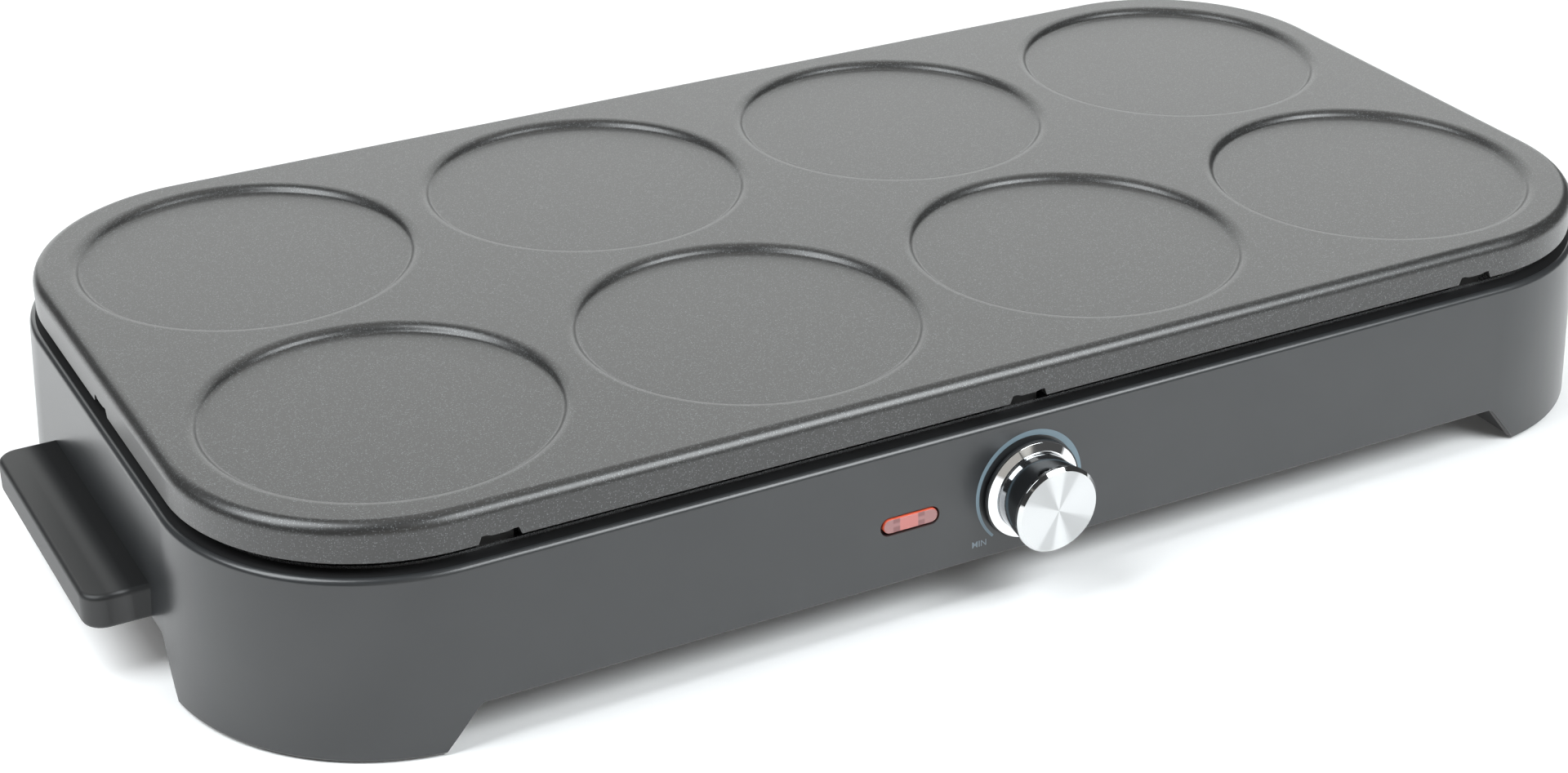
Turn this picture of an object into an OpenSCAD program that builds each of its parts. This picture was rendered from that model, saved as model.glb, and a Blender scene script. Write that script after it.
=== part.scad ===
// Electric pancake maker: a lift-off plate with round wells on a heated base with two slab handles.
// Millimetres, +Z up. The table is z = 0 and the front, with the knob, faces -Y.

/* [Cooking plate] */
// Distance between well centres along the length
pitch_x = 125; // [120:1:150]
// Distance between well centres across the depth
pitch_y = 124; // [120:1:150]
// Diameter of a well at its rim
well_d = 117.4; // [90:0.2:118]
// Depth of a well
well_depth = 2.3; // [2:0.1:4]
// Radius of the rounded rim of a well
well_rim_r = 4.3; // [0.5:0.1:5]
// Radius in the corner between a well's wall and its floor
well_floor_r = 2; // [0.5:0.1:3]
// Height of the round pad under a well
well_pad_h = 3; // [2:0.5:4]
// Distance from the outer well centres to the edge of the plate
plate_margin = 69.4; // [68:0.2:90]
// Corner radius of the plate, seen from above
plate_corner_r = 65.8; // [50:0.2:67]
// Rounding of the plate's top edge
plate_edge_r = 4.2; // [1:0.1:5]
// Thickness of the plate's metal under the wells and between them
deck_t = 4; // [3:0.5:6]
// Height of the turned-down skirt round the plate
skirt_h = 12.6; // [11:0.2:18]
// Thickness of the skirt
skirt_t = 3.2; // [2:0.1:3.6]
// Width of a notch in the skirt's lower edge
notch_w = 13.6; // [8:0.2:20]
// Height of a notch at its two ends
notch_h = 2.5; // [1.5:0.1:4]
// How much lower the middle of a notch is than its ends
notch_drop = 0.5; // [0:0.1:1]
// Distance of the outer notches from the plate's ends
notch_inset = 78; // [72:1:110]

/* [Base] */
// Height of the base's rim above the table
rim_h = 60.5; // [56:0.5:75]
// Air gap between the base's rim and the plate's skirt
plate_gap = 3.9; // [3:0.1:6]
// How far the base stands out past the plate at the rim
rim_reach = 2.6; // [1:0.1:6]
// How far the wall leans out for each millimetre down
wall_slope = 0.05; // [0:0.005:0.08]
// Thickness of the base's wall and ledge
wall_t = 3; // [2:0.1:4]
// Rounding of the base's rim
rim_r = 1.8; // [0.5:0.1:2.5]
// How far the ledge reaches in under the plate
ledge_in = 12; // [11:0.5:16]
// Height of the front and back lower edges above the table
apron_h = 14.5; // [8:0.5:17]
// Height of the two ends' lower edges above the table
end_apron_h = 18.5; // [12:0.5:20]
// Length of a foot along the front, from the plate's end to the cut-out
foot_len_x = 67.4; // [55:0.2:90]
// Length of a foot along an end, from the plate's front to the cut-out
foot_len_y = 69.3; // [55:0.1:90]
// How far a cut-out's slanted end leans
cut_lean = 11.5; // [4:0.5:14]
// Thickness of the floor inside a foot
foot_floor_t = 3; // [2.5:0.1:5]
// Width of the floor inside a foot
foot_floor_w = 27; // [24:1:32]
// Diameter of a rubber pad
pad_d = 16; // [10:1:18]
// How far a pad stands below its foot
pad_out = 0.8; // [0.4:0.1:2]
// How deep a pad is let into its foot
pad_in = 1.5; // [1:0.1:2]
// Thickness of the bottom cover
cover_t = 2; // [1.5:0.1:3]

/* [Handles] */
// How far a handle stands out from the end wall
handle_out = 20; // [12:0.5:40]
// Length of a handle
handle_w = 104; // [70:1:110]
// Thickness of a handle
handle_t = 11.7; // [10:0.1:16]
// Corner radius of a handle, seen from above
handle_corner_r = 7; // [3:0.5:12]
// Rounding of a handle's edges
handle_edge_r = 1.8; // [0.5:0.1:2.5]
// Distance between the two screws of one handle
handle_screw_gap = 60; // [40:1:80]

/* [Control] */
// Knob axis, sideways from the middle
knob_x = -1; // [-30:1:30]
// How far the knob's axis lies below the middle of the space inside the base
knob_drop = 0.7; // [-1:0.1:1]
// Diameter of the knob's body where it meets the ring
knob_body_d = 27.2; // [20:0.2:32]
// How far the body flares out towards its front, on each side
knob_flare = 0.8; // [0:0.1:2]
// How far the front disc stands out past the body, on each side
knob_lip = 0.4; // [0:0.1:1]
// Width of the chrome ring round the body
knob_ring_w = 2.5; // [1.5:0.1:4]
// How far the dark skirt stands out past the ring, on each side
knob_skirt_lip = 0.2; // [0:0.1:1]
// How far the knob stands out from the wall
knob_out = 17.3; // [15:0.1:24]
// Diameter of the thermostat's spindle
spindle_d = 6; // [5:0.1:7]
// Length of the pilot lens
lens_l = 20.4; // [14:0.2:26]
// Height of the pilot lens
lens_h = 6.2; // [5:0.1:8]
// Dark gap round the pilot lens
lens_gap = 0.7; // [0.3:0.1:1]
// Distance from the knob's axis to the middle of the lens
lens_from_knob = 43.6; // [42:0.2:60]

/* [Heating] */
// Diameter of the heating tube
tube_d = 6.5; // [5:0.1:8]
// Inside bend radius of the outer element, at the tube's middle
outer_bend_r = 42; // [25:1:48]
// Inside bend radius of the inner element, at the tube's middle
inner_bend_r = 12; // [10:1:30]
// How far the outer element runs outside the outer wells' centres
outer_run = 28; // [20:1:34]
// How far the inner element runs inside the outer wells' centres
inner_run = 26; // [15:1:30]
// Air gap between the elements and the plate
tube_gap = 0.8; // [0.5:0.1:2]
// Depth of the reflector tray below the ledge
tray_depth = 9; // [6:0.5:10]
// Thickness of the tray's sheet
tray_t = 0.8; // [0.5:0.1:1.2]
// Width of the thermostat
thermostat_w = 40; // [34:1:50]
// Depth of the thermostat, front to back
thermostat_l = 24; // [20:1:30]
// Height of the thermostat
thermostat_h = 24; // [20:1:26]

/* [Supply] */
// Sideways place of the cord gland in the back wall
gland_x = 120; // [60:5:120]
// Bore of the cord gland
gland_bore = 7; // [5:0.5:8]
// Diameter of the gland's neck
gland_neck_d = 12; // [10:0.5:14]
// Diameter of the gland's outer flange
gland_flange_d = 18; // [16:0.5:22]
// Thickness of the gland's outer flange
gland_flange_t = 2.5; // [1.5:0.1:4]
// Diameter of the insulated leads inside
lead_d = 2.6; // [2:0.1:3]

/* [Hidden] */

$fn = 64;
// A small overshoot that lets a cut pass clear through a face
cut = 1;
// Gap round pieces that are put together and stay put
seat_gap = 0.1;
// Wider gap for pieces that drop loosely into place
loose_gap = 0.4;
// Radial running clearance of the spindle in its bush
run_gap = 0.05;
// Gap between the end of a lead and the tab it is joined to
lead_gap = 0.3;

// Wells along the length and across the depth
wells_x = 4;
wells_y = 2;
row_x = (wells_x - 1) * pitch_x / 2;
row_y = (wells_y - 1) * pitch_y / 2;

// Plate outline: half length, half depth and corner centres
half_l = row_x + plate_margin;
half_w = row_y + plate_margin;
corner_x = half_l - plate_corner_r;
corner_y = half_w - plate_corner_r;

// Heights of the plate
skirt_z = rim_h + plate_gap;
plate_top = skirt_z + skirt_h;
deck_z = plate_top - deck_t;
well_under = deck_z - well_pad_h;

// How far the base's outer face stands out past the plate at a height
function reach(z) = rim_reach + wall_slope * (rim_h - z);

// Points on a quarter round between two compass angles
function arc_points(centre, r, from, to, steps = 5) =
    [for (i = [0 : steps]) let (a = from + (to - from) * i / steps) centre + r * [cos(a), sin(a)]];

foot_z = pad_out;
ledge_z = rim_h - wall_t;
under_z = max(apron_h, end_apron_h);
cover_z = under_z + loose_gap;
cover_top = cover_z + cover_t;

// Screws: shank, head and the boss that takes them
screw_d = 3;
screw_head_d = 6;
screw_head_h = 2.2;
boss_d = 8.4;

// The tray's sheet lies on the ledge, with its wall just inside the ledge's edge
tray_flange_out = 4.4;
tray_wall_in = ledge_in + loose_gap;
tray_top = rim_h + tray_t;
tray_floor = rim_h - tray_depth;
tray_floor_top = tray_floor + tray_t;

// The control sits at mid height between the bottom cover and the tray
knob_z = (tray_floor + cover_top) / 2 - knob_drop;

// Blocks that carry the plate, on the ledge behind the skirt's notches
rest_w = 12;
rest_l = 6.4;
rest_in = tray_flange_out + rest_l / 2 + loose_gap;
rest_head_sink = 1;
rest_head_in = screw_head_h + rest_head_sink;
rest_screw_grip = 8;
rest_screw_l = well_under - rest_head_in - ledge_z + rest_screw_grip;
rest_boss_h = 9;
notch_x = half_l - notch_inset;
rest_places = concat(
    [for (sy = [-1, 1], x = [-notch_x, 0, notch_x]) [x, sy * (half_w - rest_in), 0]],
    [for (sx = [-1, 1]) [sx * (half_l - rest_in), 0, 90]]
);

// Screws of the bottom cover, from below into posts under the ledge
cover_screw_in = 5.6;
cover_screw_inset_x = 40;
cover_screw_inset_y = 5;
cover_screw_x = corner_x - cover_screw_inset_x;
cover_screw_y = corner_y - cover_screw_inset_y;
cover_screw_l = 12;
cover_places = concat(
    [for (sx = [-1, 1], sy = [-1, 1]) [sx * cover_screw_x, sy * (half_w - cover_screw_in)]],
    [for (sx = [-1, 1], sy = [-1, 1]) [sx * (half_l - cover_screw_in), sy * cover_screw_y]]
);

// Rubber pads, on the diagonal of each corner
pad_wall_gap = 2;
pad_r_place = plate_corner_r + reach(foot_z) - wall_t - pad_d / 2 - pad_wall_gap;
pad_places = [for (sx = [-1, 1], sy = [-1, 1])
    [sx * (corner_x + pad_r_place * cos(45)), sy * (corner_y + pad_r_place * sin(45))]];

// Handles stand on the end wall, with their undersides level with the bottom cover
handle_z = under_z;
handle_mid_z = handle_z + handle_t / 2;
handle_root_x = half_l + reach(handle_mid_z);
handle_tip_x = handle_root_x + handle_out;
handle_screw_grip = 11;
handle_screw_l = wall_t + handle_screw_grip;

// Knob, from the wall at its axis outwards
wall_y = half_w + reach(knob_z);
knob_nose_d = knob_body_d + 2 * knob_flare;
knob_cap_d = knob_nose_d + 2 * knob_lip;
knob_ring_d = knob_body_d + 2 * knob_ring_w;
knob_skirt_d = knob_ring_d + 2 * knob_skirt_lip;
knob_back = knob_skirt_d / 2 * wall_slope + loose_gap;
knob_skirt_t = 1.2;
knob_ring_t = 1.3;
knob_ring_flat = 0.6;
knob_ring_inner_d = knob_body_d + 2 * knob_ring_flat;
knob_cap_t = 2.1;
knob_chamfer = 0.75;
knob_chamfer_h = 1.35;
knob_wall = 1.8;
knob_hub_wall = 2.5;
knob_hub_d = spindle_d + 2 * knob_hub_wall;
knob_ring_at = knob_back + knob_skirt_t;
knob_cap_at = knob_out - knob_cap_t;
spindle_flat = 1.4;
spindle_end_gap = 1;
spindle_in_hub = knob_cap_at - knob_wall - spindle_end_gap;
spindle_hole_gap = 1.5;

// Thermostat on a bracket behind the front wall
bracket_boss_h = 4.4;
bracket_t = 1.5;
bracket_gap = 1;
bracket_screw_x = thermostat_w / 2 + screw_head_d / 2 + bracket_gap;
bracket_w = 2 * bracket_screw_x + 2 * screw_head_d;
bracket_h = 20;
bracket_y = wall_y - wall_t - bracket_boss_h;
bush_d = 10;
nut_h = 2.4;
nut_d = 15;
thermostat_front = bracket_y - bracket_t;
thermostat_back = thermostat_front - thermostat_l;
spindle_in_body = 12;
bush_end = 0.5;
tab_w = 6.3;
tab_t = 0.8;
tab_l = 8;
tab_x = 10;

// Pilot lens and lamp, kept clear of the thermostat's bracket
lens_out = 0.5;
lens_wall = 1.2;
lens_flange = 1.6;
lens_flange_t = 1.5;
holder_l = 10;
holder_w = lens_l + 2 * lens_flange;
holder_h = lens_h + 2 * lens_flange;
lens_x = knob_x - max(lens_from_knob, (bracket_w + holder_w) / 2 + bracket_gap);
lens_flange_y = wall_y - wall_t - wall_slope * (lens_h / 2 + lens_flange) - seat_gap;
lamp_d = 4;
lamp_l = 11;
holder_back_t = 2;

// Heating elements
tube_z = well_under - tube_gap - tube_d / 2;
tube_end_x = 22;
tube_drop_r = 11;
tube_below = 5;
tube_end_z = tray_floor - tube_below;
outer_half_l = row_x + outer_run * 0.7;
outer_half_w = row_y + outer_run;
inner_half_l = row_x - inner_run;
inner_half_w = row_y - inner_run;
saddle_t = 1.2;
saddle_cheek = 2.5;
saddle_w = tube_d + 2 * saddle_cheek;
saddle_foot = 9;
saddle_rise = 1;
bush_wall = 2.75;
bush_lip = 2;
bush_od = tube_d + 2 * bush_wall;
bush_flange_d = bush_od + 2 * bush_lip;
bush_flange_t = 2;
bush_below = 3;
pin_d = 3;
pin_l = 3;

// Feeler of the thermostat, between the two rows of wells
bulb_d = 6;
bulb_l = 56;
bulb_gap = 0.6;
bulb_z = deck_z - bulb_gap - bulb_d / 2;
bulb_saddle_x = 18;
capillary_d = 2;
capillary_hole_d = 6;
capillary_turn = 20;
capillary_x = bulb_l / 2 + capillary_turn;

// Cut-out under the tray
fuse_d = 16;
fuse_h = 9;
fuse_ear_w = 25;
fuse_ear_t = 1;
fuse_x = 62;
fuse_shift = 4;
fuse_y = -inner_half_w - fuse_shift;
fuse_tab_x = 4;

// Gland and terminal block at the back
gland_z = knob_z;
gland_seat = half_w + reach(gland_z - gland_flange_d / 2);
gland_tail = 9;
gland_inner_l = wall_t + wall_slope * gland_flange_d + gland_tail;
gland_nut_wall = 3.5;
gland_nut_d = gland_neck_d + 2 * gland_nut_wall;
gland_nut_t = 4;
gland_nut_y = half_w + reach(gland_z) - wall_t - wall_slope * gland_nut_d / 2 - gland_nut_t;
block_w = 34;
block_l = 18;
block_h = 14;
block_pitch = 10;
block_hole_d = 4.2;
block_screw_d = 3.4;
block_from_back = 48;
block_y = half_w - block_from_back;
block_wire_h = 5;
block_wire_z = cover_top + block_wire_h;
block_screw_sink = 1;

// Earth joint under the tray
earth_from_gland = 40;
earth_from_row = 26;
earth_x = gland_x - earth_from_gland;
earth_y = row_y - earth_from_row;
earth_tag_w = 9;
earth_tag_l = 16;

// Shift that puts the whole object's box in the middle of the frame
back_reach = max(gland_seat + gland_flange_t, half_w + reach(foot_z));
shift_y = (wall_y + knob_out - back_reach) / 2;

module in_frame() { translate([0, shift_y, 0]) children(); }

// One wall profile, given as [distance out from an outline, height], carried round a rounded rectangle
module carried_round(hl, hw, r, profile) {
    for (sx = [0, 1], sy = [0, 1])
        mirror([sx, 0, 0]) mirror([0, sy, 0])
            translate([hl - r, hw - r, 0]) rotate_extrude(angle = 90) translate([r, 0]) polygon(profile);
    for (sy = [0, 1])
        mirror([0, sy, 0]) translate([r - hl, hw, 0]) rotate([90, 0, 90])
            linear_extrude(2 * (hl - r)) polygon(profile);
    for (sx = [0, 1])
        mirror([sx, 0, 0]) translate([hl, hw - r, 0]) rotate([90, 0, 0])
            linear_extrude(2 * (hw - r)) polygon(profile);
}

// A flat plate with the outline of a rounded rectangle
module round_plate(hl, hw, r, z0, z1) {
    translate([-hl, r - hw, z0]) cube([2 * hl, 2 * (hw - r), z1 - z0]);
    translate([r - hl, -hw, z0]) cube([2 * (hl - r), 2 * hw, z1 - z0]);
    for (sx = [-1, 1], sy = [-1, 1])
        translate([sx * (hl - r), sy * (hw - r), z0]) cylinder(r = r, h = z1 - z0);
}

// The plate's outline moved outwards, or inwards where out is negative
module outline_plate(out, z0, z1) {
    round_plate(half_l + out, half_w + out, plate_corner_r + out, z0, z1);
}

module outline_wall(profile) { carried_round(half_l, half_w, plate_corner_r, profile); }

// A rod along X, Y or Z from a point
module rod_x(d, l) { rotate([0, 90, 0]) cylinder(d = d, h = l); }
module rod_y(d, l) { rotate([-90, 0, 0]) cylinder(d = d, h = l); }

// A slot-shaped bar with round ends, lying along X and l long in Y
module pill_bar(w, h, l) {
    for (sx = [-1, 1]) translate([sx * (w - h) / 2, 0, 0]) rod_y(h, l);
    translate([-(w - h) / 2, 0, -h / 2]) cube([w - h, l, h]);
}

// A pan-head screw that points down from the plane z = 0, its head above the plane
module screw(l, d = screw_d) {
    difference() {
        cylinder(d = screw_head_d, h = screw_head_h);
        translate([-screw_head_d, -0.4, screw_head_h - 0.9]) cube([2 * screw_head_d, 0.8, cut + 0.9]);
    }
    translate([0, 0, -l]) cylinder(d = d, h = l);
}

// Points on the knob's axis, at a distance in front of the wall
module on_knob_axis(out) { translate([knob_x, -wall_y - out, knob_z]) children(); }

// A profile of [radius, distance in front of the wall] turned round the knob's axis
module knob_turning(profile) { on_knob_axis(0) rotate([90, 0, 0]) rotate_extrude() polygon(profile); }

// Smooth curve through hand-set points, and a round tube of eight sides swept along it
function curve_point(a, b, c, d, t) =
    (2 * b + (c - a) * t + (2 * a - 5 * b + 4 * c - d) * t * t + (3 * b - a - 3 * c + d) * t * t * t) / 2;
function curve(p, steps = 3) = let (n = len(p) - 1) concat(
    [for (i = [0 : n - 1], k = [0 : steps - 1])
        curve_point(p[max(i - 1, 0)], p[i], p[i + 1], p[min(i + 2, n)], k / steps)],
    [p[n]]
);
function unit(v) = v / norm(v);
function heading(p, i) = unit(p[min(i + 1, len(p) - 1)] - p[max(i - 1, 0)]);
function across(u, t) = unit(u - (u * t) * t);
function carried_across(p, u) = [
    for (i = 0, v = across(u, heading(p, 0)); i < len(p); i = i + 1,
        v = i < len(p) ? across(v, heading(p, i)) : v) v
];
module lead(points, d, start_across = [1, 0, 0]) {
    sides = 8;
    path = curve(points);
    side = carried_across(path, start_across);
    n = len(path);
    rings = [for (i = [0 : n - 1], k = [0 : sides - 1])
        let (a = 360 * k / sides, t = heading(path, i))
        path[i] + d / 2 * (cos(a) * side[i] + sin(a) * cross(t, side[i]))];
    walls = [for (i = [0 : n - 2], k = [0 : sides - 1], half = [0, 1])
        let (a = i * sides + k, b = i * sides + (k + 1) % sides)
        half == 0 ? [a, a + sides, b + sides] : [a, b + sides, b]];
    ends = concat(
        [for (k = [1 : sides - 2]) [0, k, k + 1]],
        [for (k = [1 : sides - 2]) (n - 1) * sides * [1, 1, 1] + [0, k + 1, k]]
    );
    polyhedron(points = rings, faces = concat(walls, ends));
}

// Outline of the space cut away between two feet
module foot_cut(half, top) {
    polygon([[-half - cut_lean, foot_z - cut], [half + cut_lean, foot_z - cut],
        [half + cut_lean, foot_z], [half, top], [-half, top], [-half - cut_lean, foot_z]]);
}

// The cut-outs under the front and back, and under the two ends, widened by a wall's thickness or not
module front_cut(wider) {
    depth = half_w + 2 * plate_corner_r;
    translate([0, depth, 0]) rotate([90, 0, 0]) linear_extrude(2 * depth)
        foot_cut(half_l - foot_len_x + wider, apron_h + wider);
}

module end_cut(wider) {
    depth = half_l + 2 * plate_corner_r;
    translate([-depth, 0, 0]) rotate([90, 0, 90]) linear_extrude(2 * depth)
        foot_cut(half_w - foot_len_y + wider, end_apron_h + wider);
}

// Floor and inner walls of one foot, which make it a cup that opens up into the base
module foot_cup() {
    top = under_z;
    out = plate_corner_r + reach(top) - wall_t / 2;
    in = out - foot_floor_w;
    difference() {
        translate([corner_x, corner_y, foot_z]) rotate_extrude(angle = 90)
            translate([in, 0]) square([out - in, top - foot_z]);
        difference() {
            translate([corner_x, corner_y, foot_z + foot_floor_t]) rotate_extrude(angle = 90)
                translate([in + wall_t, 0]) square([out - in, top]);
            front_cut(wall_t);
            end_cut(wall_t);
        }
    }
}

// The whole moulding of the base
module base_moulding() {
    rim_lean = atan(wall_slope);
    rim_centre = [reach(rim_h - rim_r) - rim_r / cos(rim_lean), rim_h - rim_r];
    wall_profile = concat(
        [[reach(foot_z), foot_z]],
        arc_points(rim_centre, rim_r, rim_lean, 90),
        [[-ledge_in, rim_h], [-ledge_in, ledge_z], [reach(ledge_z) - wall_t, ledge_z],
            [reach(foot_z) - wall_t, foot_z]]
    );
    difference() {
        union() {
            outline_wall(wall_profile);
            for (sx = [0, 1], sy = [0, 1]) mirror([sx, 0, 0]) mirror([0, sy, 0]) foot_cup();
            for (p = rest_places) translate([p[0], p[1], ledge_z - rest_boss_h])
                cylinder(d = boss_d, h = rest_boss_h + wall_t / 2);
            for (p = cover_places) translate([p[0], p[1], cover_top])
                cylinder(d = boss_d, h = ledge_z - cover_top + wall_t / 2);
            for (sx = [-1, 1]) translate([knob_x + sx * bracket_screw_x, -bracket_y, knob_z])
                rotate([90, 0, 0]) cylinder(d = boss_d, h = bracket_boss_h + wall_t / 2);
        }
        front_cut(0);
        end_cut(0);
        for (p = pad_places) translate([p[0], p[1], foot_z - cut])
            cylinder(d = pad_d + 2 * seat_gap, h = pad_in + cut);
        for (p = rest_places) translate([p[0], p[1], well_under - rest_head_in - rest_screw_l - seat_gap])
            cylinder(d = screw_d + 2 * seat_gap, h = rest_screw_l + cut);
        for (p = cover_places) translate([p[0], p[1], cover_top - cut])
            cylinder(d = screw_d + 2 * seat_gap, h = cover_screw_l + cut);
        for (sx = [-1, 1]) translate([knob_x + sx * bracket_screw_x, -bracket_y + cut, knob_z])
            rotate([90, 0, 0]) cylinder(d = screw_d + 2 * seat_gap, h = bracket_boss_h + cut);
        on_knob_axis(cut) rod_y(spindle_d + 2 * spindle_hole_gap, wall_t + 2 * cut);
        translate([lens_x, -wall_y - 2 * cut, knob_z])
            pill_bar(lens_l + 2 * lens_gap, lens_h + 2 * lens_gap, wall_t + 3 * cut);
        translate([gland_x, half_w, gland_z]) rod_y(gland_neck_d + 2 * seat_gap, reach(foot_z) + cut);
        for (sx = [-1, 1], sy = [-1, 1])
            translate([sx * half_l - 3 * wall_t, sy * handle_screw_gap / 2, handle_mid_z])
            rod_x(screw_d + 2 * seat_gap, 6 * wall_t);
    }
}

// The blocks of space that hold the four feet, below the bottom cover
module foot_zones() {
    in_x = half_l - foot_len_x;
    in_y = half_w - foot_len_y;
    for (sx = [0, 1], sy = [0, 1]) mirror([sx, 0, 0]) mirror([0, sy, 0])
        translate([in_x, in_y, foot_z - cut]) cube([half_l, half_w, under_z - foot_z + cut]);
}

// The moulding above its feet. It is given as four walls, each nearly convex, so that a simplified
// shape of one of them doesn't fill the inside of the base.
module base_walls() {
    difference() {
        base_moulding();
        foot_zones();
    }
}

// The half of space in front of or behind the middle, between the two ends' corners
module side_zone(sy) {
    depth = 2 * half_w;
    translate([-corner_x, sy > 0 ? 0 : -depth, 0]) cube([2 * corner_x, depth, rim_h + cut]);
}

// The space beyond one end's corners
module end_zone(sx) {
    translate([sx > 0 ? corner_x : -corner_x - half_l, -2 * half_w, 0])
        cube([half_l, 4 * half_w, rim_h + cut]);
}

module base_front() {
    color("#3a3c3e") in_frame() intersection() {
        base_walls();
        side_zone(-1);
    }
}

module base_back() {
    color("#3a3c3e") in_frame() intersection() {
        base_walls();
        side_zone(1);
    }
}

module base_left() {
    color("#3a3c3e") in_frame() intersection() {
        base_walls();
        end_zone(-1);
    }
}

module base_right() {
    color("#3a3c3e") in_frame() intersection() {
        base_walls();
        end_zone(1);
    }
}

module corner_feet() {
    color("#3a3c3e") in_frame() intersection() {
        base_moulding();
        foot_zones();
    }
}

module bottom_cover() {
    out = reach(cover_top) - wall_t - loose_gap;
    slot_l = 30;
    slot_w = 4;
    slot_gap = 12;
    slot_rows = 5;
    color("#2c2d2f") in_frame() difference() {
        outline_plate(out, cover_z, cover_top);
        for (p = cover_places) translate([p[0], p[1], cover_z - cut])
            cylinder(d = screw_d + 2 * seat_gap, h = cover_t + 2 * cut);
        for (sx = [-1, 1], i = [0 : slot_rows - 1])
            translate([sx * row_x / 2, (i - (slot_rows - 1) / 2) * slot_gap, cover_z - cut]) {
                translate([-slot_l / 2, -slot_w / 2, 0]) cube([slot_l, slot_w, cover_t + 2 * cut]);
                for (e = [-1, 1]) translate([e * slot_l / 2, 0, 0])
                    cylinder(d = slot_w, h = cover_t + 2 * cut);
            }
    }
}

module cover_screws() {
    color("#b9bcc0") in_frame() for (p = cover_places)
        translate([p[0], p[1], cover_z]) mirror([0, 0, 1]) screw(cover_t + cover_screw_l - 1);
}

module foot_pads() {
    color("#18191a") in_frame() for (p = pad_places)
        translate([p[0], p[1], 0]) cylinder(d = pad_d, h = pad_out + pad_in);
}

// Right-hand handle: a rounded slab cut off where it meets the sloping end wall
module handle() {
    half_out = handle_tip_x - half_l + handle_corner_r;
    inside = handle_corner_r / 2;
    profile = concat(
        [[-inside, handle_z]],
        arc_points([-handle_edge_r, handle_z + handle_edge_r], handle_edge_r, -90, 0),
        arc_points([-handle_edge_r, handle_z + handle_t - handle_edge_r], handle_edge_r, 0, 90),
        [[-inside, handle_z + handle_t]]
    );
    difference() {
        translate([handle_tip_x - half_out, 0, 0]) {
            carried_round(half_out, handle_w / 2, handle_corner_r, profile);
            round_plate(half_out - inside, handle_w / 2 - inside, handle_corner_r - inside, handle_z,
                handle_z + handle_t);
        }
        translate([-half_l, -half_w, 0]) rotate([90, 0, 0]) mirror([0, 0, 1]) linear_extrude(2 * half_w)
            polygon([[0, 0], [2 * half_l + reach(0), 0], [2 * half_l + reach(rim_h), rim_h], [0, rim_h]]);
        for (sy = [-1, 1]) translate([half_l, sy * handle_screw_gap / 2, handle_mid_z])
            rod_x(screw_d + 2 * seat_gap, reach(handle_mid_z) - wall_t + handle_screw_l + 1);
    }
}

module handle_left() { color("#2b2c2e") in_frame() mirror([1, 0, 0]) handle(); }

module handle_right() { color("#2b2c2e") in_frame() handle(); }

module handle_screws() {
    head_x = half_l + reach(handle_mid_z + screw_head_d / 2) - wall_t - seat_gap;
    color("#b9bcc0") in_frame() for (sx = [0, 1], sy = [-1, 1]) mirror([sx, 0, 0])
        translate([head_x, sy * handle_screw_gap / 2, handle_mid_z]) rotate([0, -90, 0])
            screw(handle_screw_l);
}

module reflector_tray() {
    wall_in = tray_wall_in + tray_t;
    color("#a9acb0") in_frame() difference() {
        union() {
            outline_wall([[-tray_flange_out, rim_h], [-tray_flange_out, tray_top], [-wall_in, tray_top],
                [-wall_in, tray_floor], [-tray_wall_in, tray_floor], [-tray_wall_in, rim_h]]);
            outline_plate(-tray_wall_in, tray_floor, tray_floor_top);
        }
        for (p = rest_places) translate([p[0], p[1], rim_h - cut])
            cylinder(d = screw_d + 2 * loose_gap, h = tray_t + 2 * cut);
        for (sx = [-1, 1], y = [-outer_half_w, -inner_half_w])
            translate([sx * tube_end_x, y, tray_floor - cut])
            cylinder(d = bush_od + 2 * seat_gap, h = tray_t + 2 * cut);
        translate([capillary_x, 0, tray_floor - cut]) cylinder(d = capillary_hole_d, h = tray_t + 2 * cut);
        translate([earth_x, earth_y, tray_floor - cut])
            cylinder(d = screw_d + 2 * seat_gap, h = tray_t + 2 * cut);
    }
}

module plate_rests() {
    color("#4a4640") in_frame() for (p = rest_places)
        translate([p[0], p[1], tray_top]) rotate([0, 0, p[2]]) difference() {
            translate([-rest_w / 2, -rest_l / 2, 0]) cube([rest_w, rest_l, well_under - tray_top]);
            translate([0, 0, -cut]) cylinder(d = screw_d + 2 * seat_gap, h = well_under - tray_top);
            translate([0, 0, well_under - tray_top - rest_head_in])
                cylinder(d = screw_head_d + 2 * seat_gap, h = rest_head_in + cut);
        }
}

module rest_screws() {
    color("#b9bcc0") in_frame() for (p = rest_places)
        translate([p[0], p[1], well_under - rest_head_in]) screw(rest_screw_l);
}

// One element: a bent tube with both cold ends turned down at the front
module element_loop(hl, hw, bend_r) {
    for (sx = [0, 1]) mirror([sx, 0, 0]) translate([0, 0, tube_z]) {
        translate([0, hw, 0]) rod_x(tube_d, hl - bend_r);
        translate([hl - bend_r, hw - bend_r, 0]) rotate_extrude(angle = 90) translate([bend_r, 0])
            circle(d = tube_d);
        translate([hl, bend_r - hw, 0]) rod_y(tube_d, 2 * (hw - bend_r));
        translate([hl - bend_r, bend_r - hw, 0]) rotate([0, 0, -90]) rotate_extrude(angle = 90)
            translate([bend_r, 0]) circle(d = tube_d);
        translate([tube_end_x + tube_drop_r, -hw, 0]) rod_x(tube_d, hl - bend_r - tube_end_x - tube_drop_r);
        translate([tube_end_x + tube_drop_r, -hw, -tube_drop_r]) rotate([90, 0, 0]) rotate([0, 0, 90])
            rotate_extrude(angle = 90) translate([tube_drop_r, 0]) circle(d = tube_d);
        translate([tube_end_x, -hw, tube_end_z - tube_z])
            cylinder(d = tube_d, h = tube_z - tube_drop_r - tube_end_z);
    }
}

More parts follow.
